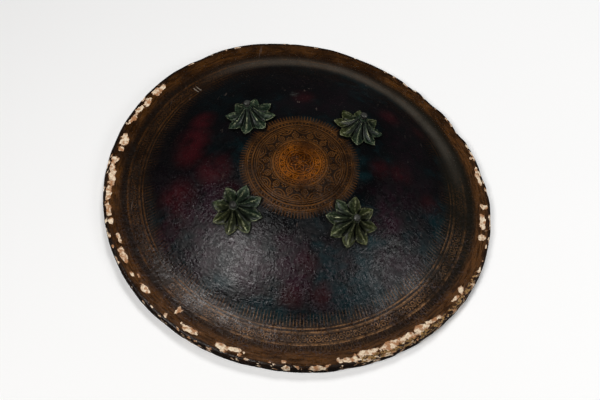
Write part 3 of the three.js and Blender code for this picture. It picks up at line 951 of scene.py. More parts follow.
# %% Where the edge has flaked and chipped
# Chips, from one direction to another in degrees, and from one distance to another
chip_table = [
    (-181, -175.4, 212.0, 220.4), (-176, -170, 215.5, 222.0), (-171, -165, 216.0, 222.2),
    (-163.9, -162, 215.6, 220.6), (-158.2, -154.7, 211.4, 214.8), (-152.8, -148.3, 212.8, 219.0),
    (-144.2, -142.4, 215.3, 218.6), (-142.9, -140.8, 210.6, 213.0), (-138.9, -135.6, 211.4, 218.4),
    (-133.8, -132.4, 219.5, 225), (-127, -126, 217, 223), (-125.4, -124, 204.0, 210.8),
    (-120.5, -114.6, 213.6, 220.2), (-109, -105, 214.0, 221.6), (-106, -100.6, 213.4, 218.4),
    (-102.6, -100.9, 216, 222.6), (-93, -92, 221, 224.5), (-89.1, -87.8, 216.8, 219.2),
    (-78, -73.2, 220.6, 223.6), (-72.2, -66.5, 215.6, 221.4), (-67.5, -60, 211.8, 218.6),
    (-61, -52, 211.0, 219.6), (-53, -47.5, 212.0, 219.0), (-48.5, -43.3, 211.6, 218.4),
    (-43.6, -38.2, 214.4, 218.4), (-33.1, -30.4, 214.6, 218.0), (-29.1, -26.9, 212.4, 217.6),
    (-10.3, -7.9, 212.4, 219.4), (-8.2, -1.7, 212.6, 217.8), (-6.9, -6.0, 215, 221.6),
    (1.3, 2.5, 214.6, 221.4), (9.7, 15.8, 217.2, 220.6), (14.2, 16.1, 218.5, 224),
    (19, 20.2, 217.5, 221), (143.1, 145.3, 212.4, 219.6), (145.5, 148, 213.6, 222.4),
    (149.8, 153.6, 212.0, 220.4), (154.4, 155.8, 216.6, 222.2), (156, 157, 217, 221),
    (157.6, 161.7, 215.8, 220.8), (164.6, 169.2, 211.2, 220.4), (170, 172, 211.0, 218.6),
    (174, 180.5, 213.8, 220.6),
]
# How much of the edge is broken into lumps of bare hide, and how many flecks show on the wall
lump_shares = [(-180, 0.0), (-72, 0.0), (-66, 0.75), (-58, 1.0), (-42, 0.9), (-34, 0.6), (-24, 0.7),
               (-16, 0.25), (0, 0.0)]
fleck_shares = [(-180, 0.1), (-130, 0.1), (-120, 0.5), (-112, 0.5), (-108, 0.8), (-103, 0.55), (-95, 0.2),
                (-89, 0.65), (-82, 0.35), (-76, 0.8), (-70, 0.4), (-62, 0.8), (-45, 0.85), (-30, 0.8),
                (-15, 0.5), (10, 0.5), (60, 0.3), (120, 0.3), (180, 0.1)]
# Where a piece of the edge has gone: direction, degrees to each side, and depth
edge_nicks = [(30, 4.5, 1.9), (44, 5.5, 1.7), (53.5, 3.5, 1.1), (13, 3.5, 0.9), (128, 3.5, 0.9),
              (75, 5.0, 0.7)]


def share_at(degrees, shares):
    return float(np.interp(degrees, *zip(*shares)))


def angle_between(degrees, other):
    return (degrees - other + 180) % 360 - 180


def fractal(spot, wave, seed=(0, 0, 0), fall=1.0, finer=2.0, octaves=3):
    """Noise about 0, with waves of a length in millimetres."""
    return noise.fractal(spot / wave + Vector(seed), fall, finer, octaves)


def chip_value(radius, degrees, rough):
    """Above 0 inside a chip and below 0 outside, roughly in millimetres."""
    best = -9.0
    for first, last, low, high in chip_table:
        along = math.radians(angle_between(degrees, (first + last) / 2)) * radius
        half_length, half_width = math.radians(last - first) / 2 * radius, (high - low) / 2
        if abs(along) > half_length + 4:
            continue
        across = radius - (low + high) / 2
        away = ((abs(along) / half_length) ** 2.6 + (abs(across) / half_width) ** 2.6) ** (1 / 2.6)
        best = max(best, (1 - away) * min(half_width, half_length) + rough * min(1.7, half_width * 0.5))
    return best


def edge_wear(radius, angle, down):
    """Flaked and raw, each from 0 to 1. Down is the way walked over the edge corner."""
    degrees = math.degrees(angle)
    spot = Vector(around(1, angle)) * radius
    spot.z = -down
    if down == 0:
        rough = 2.0 * fractal(spot, 7.5, (7, 3, 1), finer=2.1)
        flaked = smooth_step(chip_value(radius, degrees, rough), -1.5, 1.5)
    else:
        flecks = fractal(spot, 8.5, (1, 9, 4), 0.8, 2.1, 4) + 0.2 * share_at(degrees, fleck_shares)
        flaked = smooth_step(flecks, 0.22, 0.62)
    lump_share = share_at(degrees, lump_shares)
    near_edge = smooth_step(radius, 217.2, 219.0) * (1 - smooth_step(down, 3.0, 5.5))
    lumps = fractal(spot, 3.4, (2, 4, 8), 0.9) + 0.12 * lump_share
    raw = near_edge * lump_share * smooth_step(lumps, 0.02, 0.14)
    return max(flaked, raw), raw


def nick_depth(angle):
    degrees = math.degrees(angle)
    return max(deepest * (1 - smooth_step(abs(angle_between(degrees, middle)) / half, 0.2, 1.0))
               for middle, half, deepest in edge_nicks)


print("chips:", len(chip_table), "and nicks:", len(edge_nicks))

# %% The bowl's points
# Dents: distance from the crown, angle, half length, half width, turn, depth
dents = [
    (137, -33, 7.0, 2.4, 10, 0.8), (139, -30.5, 5.0, 1.6, 50, 0.6), (134, -35, 4.0, 1.5, -30, 0.5),
    (127, -114, 6.0, 2.2, 60, 0.7), (119, -119, 4.0, 1.6, -20, 0.6), (134, -107, 3.2, 1.8, 20, 0.6),
    (106, 97, 9.0, 1.4, 80, 0.5), (95, -58, 5.0, 3.0, 0, 0.35), (150, -95, 6.0, 2.0, 70, 0.45),
    (158, 160, 7.0, 3.0, 30, 0.4), (75, 30, 5.0, 2.0, 15, 0.3),
]


def dent_lift(spot):
    """Dents pressed into the face, each with a low lip round it."""
    lift = 0.0
    for radius, degrees, half_length, half_width, turn, depth in dents:
        x, y = spot.xy - Vector(around(radius, math.radians(degrees))).xy
        if math.hypot(x, y) > 3 * half_length:
            continue
        cosine, sine, _ = around(1, math.radians(turn))
        away = math.hypot((x * cosine + y * sine) / half_length, (y * cosine - x * sine) / half_width)
        away += 0.5 * noise.noise(spot / 3.0)
        lift += depth * (0.45 * bump(away, 1.35, 0.4) - bump(away, 0, 1))
    return lift


def bowl_point(row, angle, out, down):
    """One point of the bowl, its place before it dried, and its flaked, raw and shadow values."""
    radius, height, _, surface = row
    spot = Vector(around(radius, angle, height))
    flaked = raw = shadow = 0.0
    lift = (smooth_step(radius, 118.0, 160.0) * 0.5 + 0.12) * fractal(spot, 48.0, octaves=2)
    if surface == "inside":
        lift = 0.0 if height == 0 else -0.12 * fractal(spot, 30.0, (5, 5, 5), octaves=2)
    elif radius < rim_start:
        lift += dent_lift(spot)
    if surface != "inside" and radius > rim_start - 3:
        flaked, raw = edge_wear(radius, angle, down)
        lift -= 0.45 * flaked + raw * (0.95 + 0.9 * fractal(spot, 2.6))
    if surface == "edge":
        shadow = smooth_step(down, 9.0, 12.5)
    wobble = 0.7 * fractal(Vector(around(1, angle)), 1 / 7) * smooth_step(radius, 195.0, 224.0)
    if surface != "face" or radius > 215:
        wobble -= nick_depth(angle) * smooth_step(radius, 215.0, 224.0)
    far = radius * out_of_round(radius, angle) + out.x * lift + wobble
    return around(far, angle, max(0.0, height + out.y * lift)), tuple(spot * MM), (flaked, raw, shadow)


def bowl_points():
    """All points in rows round the crown, and where each row starts."""
    points, starts = [], []
    down = 0.0
    for n, row in enumerate(rows):
        starts.append(len(points))
        before, after = rows[max(n - 1, 0)], rows[min(n + 1, len(rows) - 1)]
        out = Vector((before[1] - after[1], after[0] - before[0])).normalized()
        if row[3] == "edge":
            down += math.hypot(row[0] - before[0], row[1] - before[1])
        for angle in circle(row[2]):
            points.append(bowl_point(row, angle if angle <= math.pi else angle - 2 * math.pi, out, down))
    for height in (crown_height, crown_height - crown_thickness):
        points.append(((0, 0, height), (0, 0, crown_height * MM), (0.0, 0.0, 0.0)))
    return points, starts


def bowl_faces(starts, middle):
    """Quads between rows of the same count, and five-cornered faces where the count doubles."""
    faces, surfaces = [], []
    for n in range(len(rows) - 1):
        low, high = starts[n], starts[n + 1]
        few, many = rows[n][2], rows[n + 1][2]
        count = min(few, many)
        for step in range(count):
            after = (step + 1) % count
            if few == many:
                face = (low + step, high + step, high + after, low + after)
            elif few < many:
                face = (low + step, *(high + (2 * step + extra) % many for extra in range(3)), low + after)
            else:
                face = (*(low + (2 * step + extra) % few for extra in range(3)), high + after, high + step)
            faces.append(face)
        surfaces += [int(rows[n + 1][3] == "inside")] * count
    for surface, row in enumerate((0, len(rows) - 1)):
        faces += [(middle + surface, starts[row] + step, starts[row] + (step + 1) % dome_columns)
                  for step in range(dome_columns)]
        surfaces += [surface] * dome_columns
    return faces, surfaces


# %% The hide bowl as one mesh
def make_bowl():
    marks, starts = bowl_points()
    points, flat, values = zip(*marks)
    faces, surfaces = bowl_faces(starts, len(points) - 2)
    bowl = make_piece("hide_shell", points, faces)
    finish_piece(bowl, [lacquer, bowl_lining], "hide_bowl")
    bowl.data.polygons.foreach_set("material_index", surfaces)
    place = bowl.data.attributes.new("flat_place", "FLOAT_VECTOR", "POINT")
    place.data.foreach_set("vector", np.array(flat, np.float32).ravel())
    for name, column in zip(("flaked", "raw", "shadow_line"), zip(*values)):
        note_values(bowl, name, column)
    return bowl


bowl = make_bowl()
print("hide shell:", sum(len(face.vertices) - 2 for face in bowl.data.polygons), "triangles")

# %% [markdown]
# ## Copies by rule
#
# Petals stand in a ring and stitches follow a line, so Geometry Nodes make both. The
# tree gets its sizes as named inputs. When it has run, its result becomes a plain mesh,
# because the exported model keeps meshes and not instances.


# %% Node trees that repeat a shape
shape_socket = {"Geometry": "Geometry"}
stitch_pitch, stitch_length, stitch_thickness = 3.2, 2.3, 0.7
stitch_segments, stitch_rings = 8, 5
merge_distance = 0.02


def make_ring_tree():
    """Copies of the incoming mesh, evenly round the up axis, merged where they meet."""
    given = new_tree("Geometry", "copies in a ring",
                     shape_socket | {"Count": "Int", "Finish": "Material"}, shape_socket)
    points = add_node("GeometryNodePoints", Count=given["Count"])
    turn = add_node("GeometryNodeInputIndex") / given["Count"] * (2 * math.pi)
    copies = add_node("GeometryNodeInstanceOnPoints", Points=points, Instance=given["Geometry"],
                      Rotation=add_node("ShaderNodeCombineXYZ", Z=turn))
    merged = add_node("GeometryNodeMergeByDistance", add_node("GeometryNodeRealizeInstances", copies),
                      Distance=merge_distance * MM)
    return close_tree(Geometry=add_node("GeometryNodeSetMaterial", merged, Material=given["Finish"]))


def make_stitch_tree():
    """Thread stitches, each a small rounded bead, along the edges of the incoming mesh."""
    sizes = dict.fromkeys(("Pitch", "Length", "Thickness"), "Float")
    given = new_tree("Geometry", "stitches along a line",
                     shape_socket | sizes | {"Finish": "Material"}, shape_socket)
    path = add_node("GeometryNodeMeshToCurve", given["Geometry"])
    points = add_node("GeometryNodeCurveToPoints", path, mode="LENGTH", Length=given["Pitch"])
    aim = add_node("FunctionNodeAlignRotationToVector", axis="X", Vector=points.beside("Tangent"))
    ball = add_node("GeometryNodeMeshUVSphere", Segments=stitch_segments, Rings=stitch_rings, Radius=0.5)
    size = add_node("ShaderNodeCombineXYZ", given["Length"], given["Thickness"], given["Thickness"])
    copies = add_node("GeometryNodeInstanceOnPoints", Points=points, Rotation=aim,
                      Instance=add_node("GeometryNodeTransform", ball, Scale=size))
    real = add_node("GeometryNodeRealizeInstances", copies)
    return close_tree(Geometry=add_node("GeometryNodeSetMaterial", real, Material=given["Finish"]))


def run_tree(piece, tree, **inputs):
    """Runs a tree on a piece with inputs set by their identifiers, and keeps a plain mesh."""
    modifier = piece.modifiers.new("nodes", "NODES")
    modifier.node_group = tree
    sockets = {item.name: item.identifier for item in tree.interface.items_tree if item.in_out == "INPUT"}
    for label, value in inputs.items():
        modifier[sockets[label]] = value
    bake_modifiers(piece)
    return smoothed(piece)


ring_tree = make_ring_tree()
stitch_tree = make_stitch_tree()


def sew(name, lines, body):
    """Stitches along several lines of points in millimetres, as one piece."""
    points, edges = [], []
    for route in lines:
        edges += [(n, n + 1) for n in range(len(points), len(points) + len(route) - 1)]
        points += route
    stitches = run_tree(make_piece(name, points, [], edges), stitch_tree, Pitch=stitch_pitch * MM,
                        Length=stitch_length * MM, Thickness=stitch_thickness * MM, Finish=thread)
    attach(stitches, body)
    return stitches


print("repeating trees are ready")

# %% [markdown]
# ## Metals
#
# The flowers are cast bronze that has gone green, and it is bright only along the ribs
# that hands and cloths reach. Knobs, stems and rings are forged iron, grey-brown, with a
# dull rust in the hollows. The washers inside are brass that has gone brown.


# %% Verdigris, iron and brass
def make_verdigris():
    material = new_finish("verdigris bronze")
    place = own_places()
    age = aged(place, 70.0)
    tone = clouds_at(place, 11.0, 1.0).to(0.4, 0.6)
    fine = clouds_at(place, 420.0, 4.0, 0.7)
    broken = clouds_at(place, 130.0).to(0.38, 0.58)
    rib, recess = own_attribute("rib"), own_attribute("recess")
    pale = mixed(tone, (0.085, 0.125, 0.075), (0.125, 0.135, 0.050))
    colour = coated(
        mixed(tone, (0.0050, 0.0125, 0.0060), (0.017, 0.0215, 0.0050)),
        ((age.cloud * 0.3 + rib * 0.35 + (fine - 0.52) * 3.4).clamped(), pale),
        (rib.to(0.35, 0.95) * fine.to(0.42, 0.58) * broken, (0.33, 0.335, 0.20)),
        ((recess * 1.15 + age.speck * 0.6).clamped(), (0.0018, 0.0032, 0.0020)),
    )
    shade(Base_Color=colour, Metallic=(rib.to(0.45, 0.95) * 0.5).clamped(), Specular_IOR_Level=0.3,
          Roughness=(0.30 - rib * 0.1 + fine * 0.26).clamped(),
          Normal=relief(fine * 1.1 + age.cloud * 0.5, 0.3, 0.7))
    return material


def make_metal(name, dark, light, rust, roughness, scale):
    material = new_finish(name)
    place = own_places()
    age = aged(place, scale, 1.0)
    hammered = clouds_at(place, scale * 3.0)
    colour = coated(mixed(age.cloud, dark, light), (age.speck * 0.8, rust), (age.scratch * 0.5, light))
    shade(Base_Color=colour, Metallic=0.85 - age.speck * 0.7,
          Roughness=(hammered * 0.3 + age.speck * 0.25 + roughness).clamped(),
          Normal=relief(hammered * 0.7 + age.cloud * 0.4, 0.3, 0.5))
    return material


verdigris = make_verdigris()
iron = make_metal("worn iron", dark=(0.045, 0.046, 0.041), light=(0.17, 0.172, 0.155),
                  rust=(0.042, 0.024, 0.014), roughness=0.36, scale=150.0)
brass = make_metal("old brass", dark=(0.16, 0.105, 0.045), light=(0.36, 0.25, 0.10),
                   rust=(0.05, 0.045, 0.025), roughness=0.28, scale=120.0)
print("metals:", verdigris.name, iron.name, brass.name)

# %% [markdown]
# ## Flower bosses
#
# Each flower has eight pointed petals that rise in a fluted cone to a narrow neck. One
# petal is a strip of columns, each a closed loop from the bore over the top, round the
# edge and back underneath. Eight copies in a ring close up into the flower. Then the
# whole of it is bent a little, as no two petals of a cast flower lie alike.

# %% One petal
fit = 0.3
stem_radius, stem_fit = 1.9, 0.3
bore_radius = stem_radius + stem_fit
neck_width = 1.6
petal_thickness = 1.5
petal_columns, petal_steps = 20, 24
tip_spring = 1.6
bend_wave = 19.0


def dome_sag(radius):
    return math.sqrt(outer_face.radius ** 2 - radius**2) - outer_face.radius


def petal_relief(across, along):
    """Ribs and flutes: height, how rubbed and how sheltered. Across is 0 on the middle rib."""
    rib = bump(across, 0, 0.24 - 0.10 * along)
    side = bump(across, 0.78, 0.10) * smooth_step(along, 0.35, 0.75)
    flute = bump(across, 0.45, 0.18)
    notch = bump(across, 1, 0.22)
    lip = bump(along, 1, 0.07)
    show = min(1.0, along / 0.08) * (1 - along**9)
    height = show * (1.5 * rib + 0.8 * side - 0.55 * flute - 2.4 * notch) + 0.4 * lip
    rubbed = max(show * rib, 0.75 * side, 0.8 * lip)
    return height, rubbed, min(1.0, show * (1.2 * notch + 0.5 * flute) + 0.35 * (1 - along) ** 2)


def petal_column(across):
    """One closed loop of points (radius, height, rib, recess) at a place across the petal."""
    reach = petal_reach * (notch_share + (1 - notch_share) * (1 - across) ** 0.85)
    neck = bore_radius + neck_width
    top = []
    for n in range(petal_steps + 1):
        along = (n / petal_steps) ** 1.25
        radius = neck + (reach - neck) * along
        rise = petal_thickness + (boss_height - petal_thickness - fit) * (1 - along) ** 2.1
        height, rib, recess = petal_relief(across, along)
        spring = tip_spring * (radius / petal_reach) ** 4
        top.append((radius, dome_sag(radius) * along + fit + rise + height + spring, rib, recess))
    edge_radius, edge_top, _, _ = top[-1]
    under = []
    for radius, height, _, _ in reversed(top[1:]):
        thickness = petal_thickness * (0.8 + 0.5 * (1 - radius / petal_reach))
        under.append((radius, max(height - thickness, dome_sag(radius) + 0.12), 0.0, 0.8))
    return [(bore_radius, boss_height, 0.3, 0.0), *top,
            (edge_radius + 0.25, edge_top - 0.45 * petal_thickness, 0.5, 0.2), *under,
            (bore_radius, boss_height - 2.2, 0.0, 0.8)]


def make_flower(corner):
    points, ribs, recesses = [], [], []
    for n in range(petal_columns + 1):
        place = 2 * n / petal_columns - 1
        loop = petal_column(abs(place))
        for radius, height, rib, recess in loop:
            points.append(around(radius, place * math.pi / petal_count, height))
            ribs.append(rib)
            recesses.append(recess)
    count = len(loop)
    faces = [(low + n, low + (n + 1) % count, low + count + (n + 1) % count, low + count + n)
             for low in range(0, petal_columns * count, count) for n in range(count)]
    flower = make_piece(f"flower_{corner}", points, faces)
    note_values(flower, "rib", ribs)
    note_values(flower, "recess", recesses)
    run_tree(flower, ring_tree, Count=petal_count, Finish=verdigris)
    turn = Matrix.Rotation(boss_turn_shares[corner] * 2 * math.pi / petal_count, 4, "Z")
    seed = Vector((corners[corner], 0, 0))
    for vertex in flower.data.vertices:
        bend = (math.hypot(vertex.co.x, vertex.co.y) / MM / petal_reach) ** 2
        shift = noise.noise_vector(vertex.co / (bend_wave * MM) + seed) * bend * MM
        vertex.co += Vector((0.9 * shift.x, 0.9 * shift.y, 0.7 * shift.z + 0.15 * bend * MM))
        floor = (dome_sag(math.hypot(vertex.co.x, vertex.co.y) / MM) + 0.1) * MM
        vertex.co.z = max(vertex.co.z, floor)
    flower.data.transform(Matrix.Scale(MM, 4) @ boss_place(corner) @ Matrix.Scale(1 / MM, 4) @ turn)
    return finish_piece(flower, [verdigris], f"boss_{corner}")


flowers = [make_flower(corner) for corner in corners]
print("flowers:", len(flowers), "with", len(flowers[0].data.polygons), "faces each")

# %% [markdown]
# ## Collars, knobs, stems and washers
#
# These are turned or forged pieces on the same axis, so each is an outline turned about
# it. The heights are those of the solids: each piece starts where the one below it ends,
# and a small fit lies between them. The stem's inner end is forged into an eye, which
# stands square to the strap.

# %% Heights on a stem, from the outer face of the hide
collar_radius, collar_thickness = 5.6, 1.4
knob_radius, knob_base_radius, knob_height, knob_cap = 4.1, 3.2, 5.6, 1.6
shoulder_radius, shoulder_thickness = 4.0, 1.5
eye_radius, wire_radius = 5.2, 1.6
washer_radius, washer_thickness, washer_fit = 8.0, 1.5, 0.45
panel_fit, panel_thickness = 0.35, 2.0

ball_offset = inner_face.centre - outer_face.centre
inner_reach = ball_offset * math.cos(boss_tilt) + math.sqrt(
    inner_face.radius ** 2 - (ball_offset * math.sin(boss_tilt)) ** 2)
hide_under = inner_reach - outer_face.radius
panel_under = hide_under - panel_fit - panel_thickness
washer_top = panel_under - washer_fit
washer_under = washer_top - washer_thickness
shoulder_top = washer_under - fit
shoulder_under = shoulder_top - shoulder_thickness
eye_height = shoulder_under - eye_radius
collar_foot = boss_height + fit
knob_foot = collar_foot + collar_thickness + fit
stem_top = knob_foot + knob_height - knob_cap
print("eye below the outer face:", round(eye_height, 2), "mm")


# %% Pieces on the stems
def uneven(piece, amount, wave, seed):
    """Hand work: moves every point a little, the same way for the same seed."""
    for vertex in piece.data.vertices:
        vertex.co += noise.noise_vector(vertex.co / (wave * MM) + Vector((seed, 0, 0))) * amount * MM
    return piece


def make_collar(corner, place, seed):
    top = collar_foot + collar_thickness
    outline = [(bore_radius, collar_foot), (collar_radius, collar_foot),
               (collar_radius - 0.3, top), (bore_radius, top)]
    piece = make_piece(f"collar_ring_{corner}", *turned(rounded(outline, 0.5), 40, place))
    for name, value in (("rib", 0.35), ("recess", 0.25)):
        note_values(piece, name, [value] * len(piece.data.vertices))
    return finish_piece(uneven(piece, 0.08, 4, seed), [verdigris], f"collar_{corner}")


def make_knob(corner, place, seed):
    waist, ball_foot = (knob_radius + knob_base_radius) / 2, knob_foot + knob_cap
    top, roof = knob_foot + knob_height, stem_top + fit
    outline = [(0, top), (knob_radius * 0.45, top - 0.15), (knob_radius * 0.8, top - knob_cap * 0.6),
               (knob_radius, (top + ball_foot) / 2 + 0.2), (waist, ball_foot),
               (knob_base_radius, ball_foot - knob_cap / 2), (waist, knob_foot), (bore_radius, knob_foot),
               (bore_radius, roof), (0, roof)]
    piece = make_piece(f"knob_cap_{corner}", *turned(rounded(outline, 0.6, 4), 32, place))
    return finish_piece(uneven(piece, 0.3, 4, seed + 2), [iron], f"knob_{corner}")


def make_stem(corner, place, seed):
    """The rod with its shoulder, and the eye that its inner end is forged into."""
    outline = [(0, stem_top), (stem_radius, stem_top), (stem_radius, shoulder_top),
               (shoulder_radius, shoulder_top), (shoulder_radius, shoulder_under), (0, shoulder_under)]
    rod = turned(rounded(outline, 0.35), 28, place)
    centre = place @ Vector((0, 0, eye_height))
    path = [centre + eye_radius * Vector((0, math.cos(angle), math.sin(angle))) for angle in circle(44)]
    piece = united(f"stem_with_eye_{corner}", rod, bent_wire(path, [wire_radius] * len(path), 16))
    return finish_piece(uneven(piece, 0.1, 5, seed + 4), [iron], f"eye_stem_{corner}")


def make_washer(corner, place, seed):
    outline = [(bore_radius, washer_under), (washer_radius, washer_under + 0.15),
               (washer_radius, washer_top), (bore_radius, washer_top)]
    piece = make_piece(f"washer_plate_{corner}", *turned(rounded(outline, 0.4), 44, place))
    return finish_piece(uneven(piece, 0.08, 6, seed + 6), [brass], f"washer_{corner}")


for number, corner in enumerate(corners):
    for make in (make_collar, make_knob, make_stem, make_washer):
        make(corner, boss_place(corner), 10.0 * number)
print("pieces on four stems are made")

# %% [markdown]
# ## Rings
#
# A ring is a length of iron wire bent round and closed. It hangs in its eye and leans,
# because the strap pulls it towards its own middle. The wire is a little thinner where
# the eye has worn it, and a short lap shows where its ends were closed.

# %% Rings
ring_radius = 9.5
ring_lean = math.radians(35)
sideways = Vector((1, 0, 0))


def hanging_at(corner):
    """Where a ring hangs, and where the strap's fold goes round it."""
    eye = boss_place(corner) @ Vector((0, 0, eye_height))
    way = -1.0 if eye.y > 0 else 1.0
    pull = Vector((0, way * math.sin(ring_lean), -math.cos(ring_lean)))
    centre = eye + pull * eye_radius + pull * (ring_radius - 2 * wire_radius - fit)
    return SimpleNamespace(pull=pull, centre=centre, fold=centre + pull * ring_radius, way=way)


def make_ring(corner):
    """The wire of the ring, with its lap away from the eye and the strap."""
    at = hanging_at(corner)
    angles = circle(72)
    path = [at.centre + ring_radius * (math.cos(angle) * sideways + math.sin(angle) * at.pull)
            for angle in angles]
    radii = [wire_radius + 0.14 * bump(angle, math.pi, 0.12) - 0.1 * bump(angle, 1.5 * math.pi, 0.25)
             for angle in angles]
    piece = make_piece(f"strap_ring_{corner}", *bent_wire(path, radii, 14))
    return finish_piece(piece, [iron], f"ring_{corner}", f"{corner}_ring")


rings = [make_ring(corner) for corner in corners]
print("rings:", len(rings))

# %% [markdown]
# ## Leather, velvet and thread
#
# Strap leather is worn to a shine, the panel behind the cushion is matt, and the cushion
# is velvet, whose pile is paler where it is crushed. Each leather is the same tree with
# its own colours and cell size.


# %% Leather, velvet and thread finishes
def make_leather(name, dark, light, cell, roughness, depth):
    material = new_finish(name)
    age = aged(own_places(), 28.0, 0.8, cell)
    colour = coated(
        mixed(age.cloud, dark, light),
        (age.furrow * 0.55, [value * 0.35 for value in dark]),
        (age.scratch * 0.45, [min(1.0, value * 2.6) for value in light]),
    )
    shade(Base_Color=colour, Normal=relief(age.height, depth, 0.7),
          Roughness=(age.furrow * 0.15 + age.cloud * 0.1 + roughness).clamped())
    return material


def make_velvet():
    material = new_finish("cushion velvet")
    place = own_places()
    age = aged(place, 38.0)
    pile = clouds_at(place, 1500.0, 2.0, 0.6)
    colour = mixed(age.cloud * pile.to(0.3, 0.7), (0.075, 0.006, 0.008), (0.20, 0.022, 0.022))
    shade(Base_Color=mixed(age.speck * 0.5, colour, (0.05, 0.02, 0.012)), Roughness=0.9,
          Sheen_Weight=0.6, Sheen_Roughness=0.4, Sheen_Tint=(0.9, 0.45, 0.4),
          Normal=relief(pile * 0.7 + age.cloud * 0.5, 0.35, 0.6))
    return material


def make_thread():
    material = new_finish("waxed thread")
    strand = clouds_at(stretched(own_places(), (1.0, 0.3, 1.0)), 2500.0, 2.0)
    shade(Base_Color=mixed(strand.to(0.3, 0.7), (0.20, 0.13, 0.07), (0.46, 0.35, 0.22)),
          Roughness=strand * 0.2 + 0.6, Normal=relief(strand, 0.2, 0.6))
    return material


strap_leather = make_leather("strap leather", dark=(0.030, 0.010, 0.006), light=(0.080, 0.026, 0.014),
                             cell=950.0, roughness=0.40, depth=0.16)
band_leather = make_leather("band leather", dark=(0.018, 0.007, 0.005), light=(0.045, 0.017, 0.010),
                            cell=1100.0, roughness=0.44, depth=0.14)
panel_leather = make_leather("panel leather", dark=(0.065, 0.026, 0.013), light=(0.135, 0.058, 0.030),
                             cell=700.0, roughness=0.58, depth=0.22)
velvet = make_velvet()
thread = make_thread()
print("soft finishes are ready")

# %% [markdown]
# ## Hand straps
#
# A hand strap is a stuffed leather tube with sewn margins. Both ends narrow to a tongue
# that is folded round a ring and closed with a leather band. It has a middle line of
# stations, from one ring to the other, and a section that changes along it: oval at the
# tongue, and crowned with flat margins at the grip. The fold is a band of its own,
# united with the tube.

# %% Stations along a strap
tongue_width, tongue_thickness, tongue_wall, tongue_slack, tongue_length = 8.0, 5.0, 2.0, 1.2, 13.0
grip_width, grip_thickness, grip_taper = 20.0, 9.0, 12.0
margin_share, seam_from_edge, sewn_share = 0.62, 1.6, 0.85
strap_bend_radius = 22.0
keeper_length, keeper_thickness, keeper_start = 6.0, 1.4, 5.6
strap_sides = 32
tongue_steps, bend_steps, grip_steps, fold_steps = 8, 16, 9, 48


def station_at(point, along, share):
    """A place on the middle line. The share is 0 at the tongue and 1 at the grip."""
    return SimpleNamespace(point=point, along=along, share=share)


def strap_stations(corner):
    """From the fold round a ring to the middle of the grip."""
    at = hanging_at(corner)
    first = wire_radius + fit + tongue_wall / 2
    stations = []
    for n in range(tongue_steps + 1):
        distance = first + (tongue_length - first) * n / tongue_steps
        stations.append(station_at(at.fold + at.pull * distance, at.pull, 0.0))
    slope = math.pi / 2 - ring_lean
    for n in range(1, bend_steps + 1):
        angle = slope - slope * n / bend_steps
        run = strap_bend_radius * (math.sin(slope) - math.sin(angle))
        fall = strap_bend_radius * (math.cos(angle) - math.cos(slope))
        point = at.fold + at.pull * tongue_length + Vector((0, at.way * run, -fall))
        along = Vector((0, at.way * math.cos(angle), -math.sin(angle)))
        share = smooth_step(strap_bend_radius * slope * n / bend_steps, 0, grip_taper)
        stations.append(station_at(point, along, share))
    last = stations[-1].point
    for n in range(1, grip_steps):
        point = Vector((last.x, last.y * (1 - n / grip_steps), last.z))
        stations.append(station_at(point, along, 1.0))
    return stations


def signed_root(value):
    return math.copysign(math.sqrt(abs(value)), value)


def strap_section(station, grow=0.0):
    """A ring of points round a station, growing outwards for the bands that go over it."""
    across = sideways.cross(station.along).normalized()
    half_width = (tongue_width + (grip_width - tongue_width) * station.share) / 2 + grow
    half_depth = (tongue_thickness + (grip_thickness - tongue_thickness) * station.share) / 2 + grow
    ring = []
    for angle in circle(strap_sides):
        wide, deep = signed_root(math.cos(angle)), signed_root(math.sin(angle))
        crown = 1 - station.share * margin_share * smooth_step(abs(wide), 0.45, 0.86)
        ring.append(station.point + sideways * half_width * wide + across * half_depth * deep * crown)
    return ring


def fold_ring(corner):
    """The leather that goes round the ring's wire: a band along a long round path."""
    at = hanging_at(corner)
    across = sideways.cross(at.pull)
    inner, outer, half = wire_radius + fit, wire_radius + fit + tongue_wall, tongue_width / 2
    section = rounded([(inner, -half), (outer, -half), (outer, half), (inner, half)], 0.5, 2)
    loops = []
    for turn in circle(fold_steps, 0.5):
        angle = turn - math.pi / 2
        middle = at.fold - at.pull * (tongue_slack if math.cos(angle) < 0 else 0.0)
        way = at.pull * math.cos(angle) + across * math.sin(angle)
        loops.append([middle + way * radius + sideways * side for radius, side in section])
    return skin(loops, looped=True)


# %% Hand straps and their bands
def make_strap(side):
    back, front = strap_stations(f"back_{side}"), strap_stations(f"front_{side}")
    for station in front:
        station.along = -station.along
    stations = back + front[::-1]
    body = skin([strap_section(station) for station in stations])
    strap = united(f"hand_strap_{side}", body, fold_ring(f"back_{side}"), fold_ring(f"front_{side}"))
    finish_piece(strap, [strap_leather], f"strap_{side}", f"{side}_strap")
    return strap, stations


def make_keeper(corner, side):
    """A band of leather over the tongue, rounded at its edges."""
    at = hanging_at(corner)
    near, far, top = keeper_start, keeper_start + keeper_length, fit + keeper_thickness
    loops = [strap_section(station_at(at.fold + at.pull * distance, at.pull, 0.0), grow)
             for distance, grow in rounded([(near, fit), (near, top), (far, top), (far, fit)], 0.45)]
    keeper = make_piece(f"strap_band_{corner}", *skin(loops, looped=True))
    return finish_piece(keeper, [band_leather], f"keeper_{corner}", f"{side}_strap")


def margin_line(stations, edge, face):
    """Where the thread goes along the grip, near one edge and on one face."""
    out = sideways * edge * (grip_width / 2 - seam_from_edge)
    deep = grip_thickness / 2 * (1 - margin_share) * 0.93
    return [station.point + out + sideways.cross(station.along).normalized() * face * deep
            for station in stations if station.share >= sewn_share]


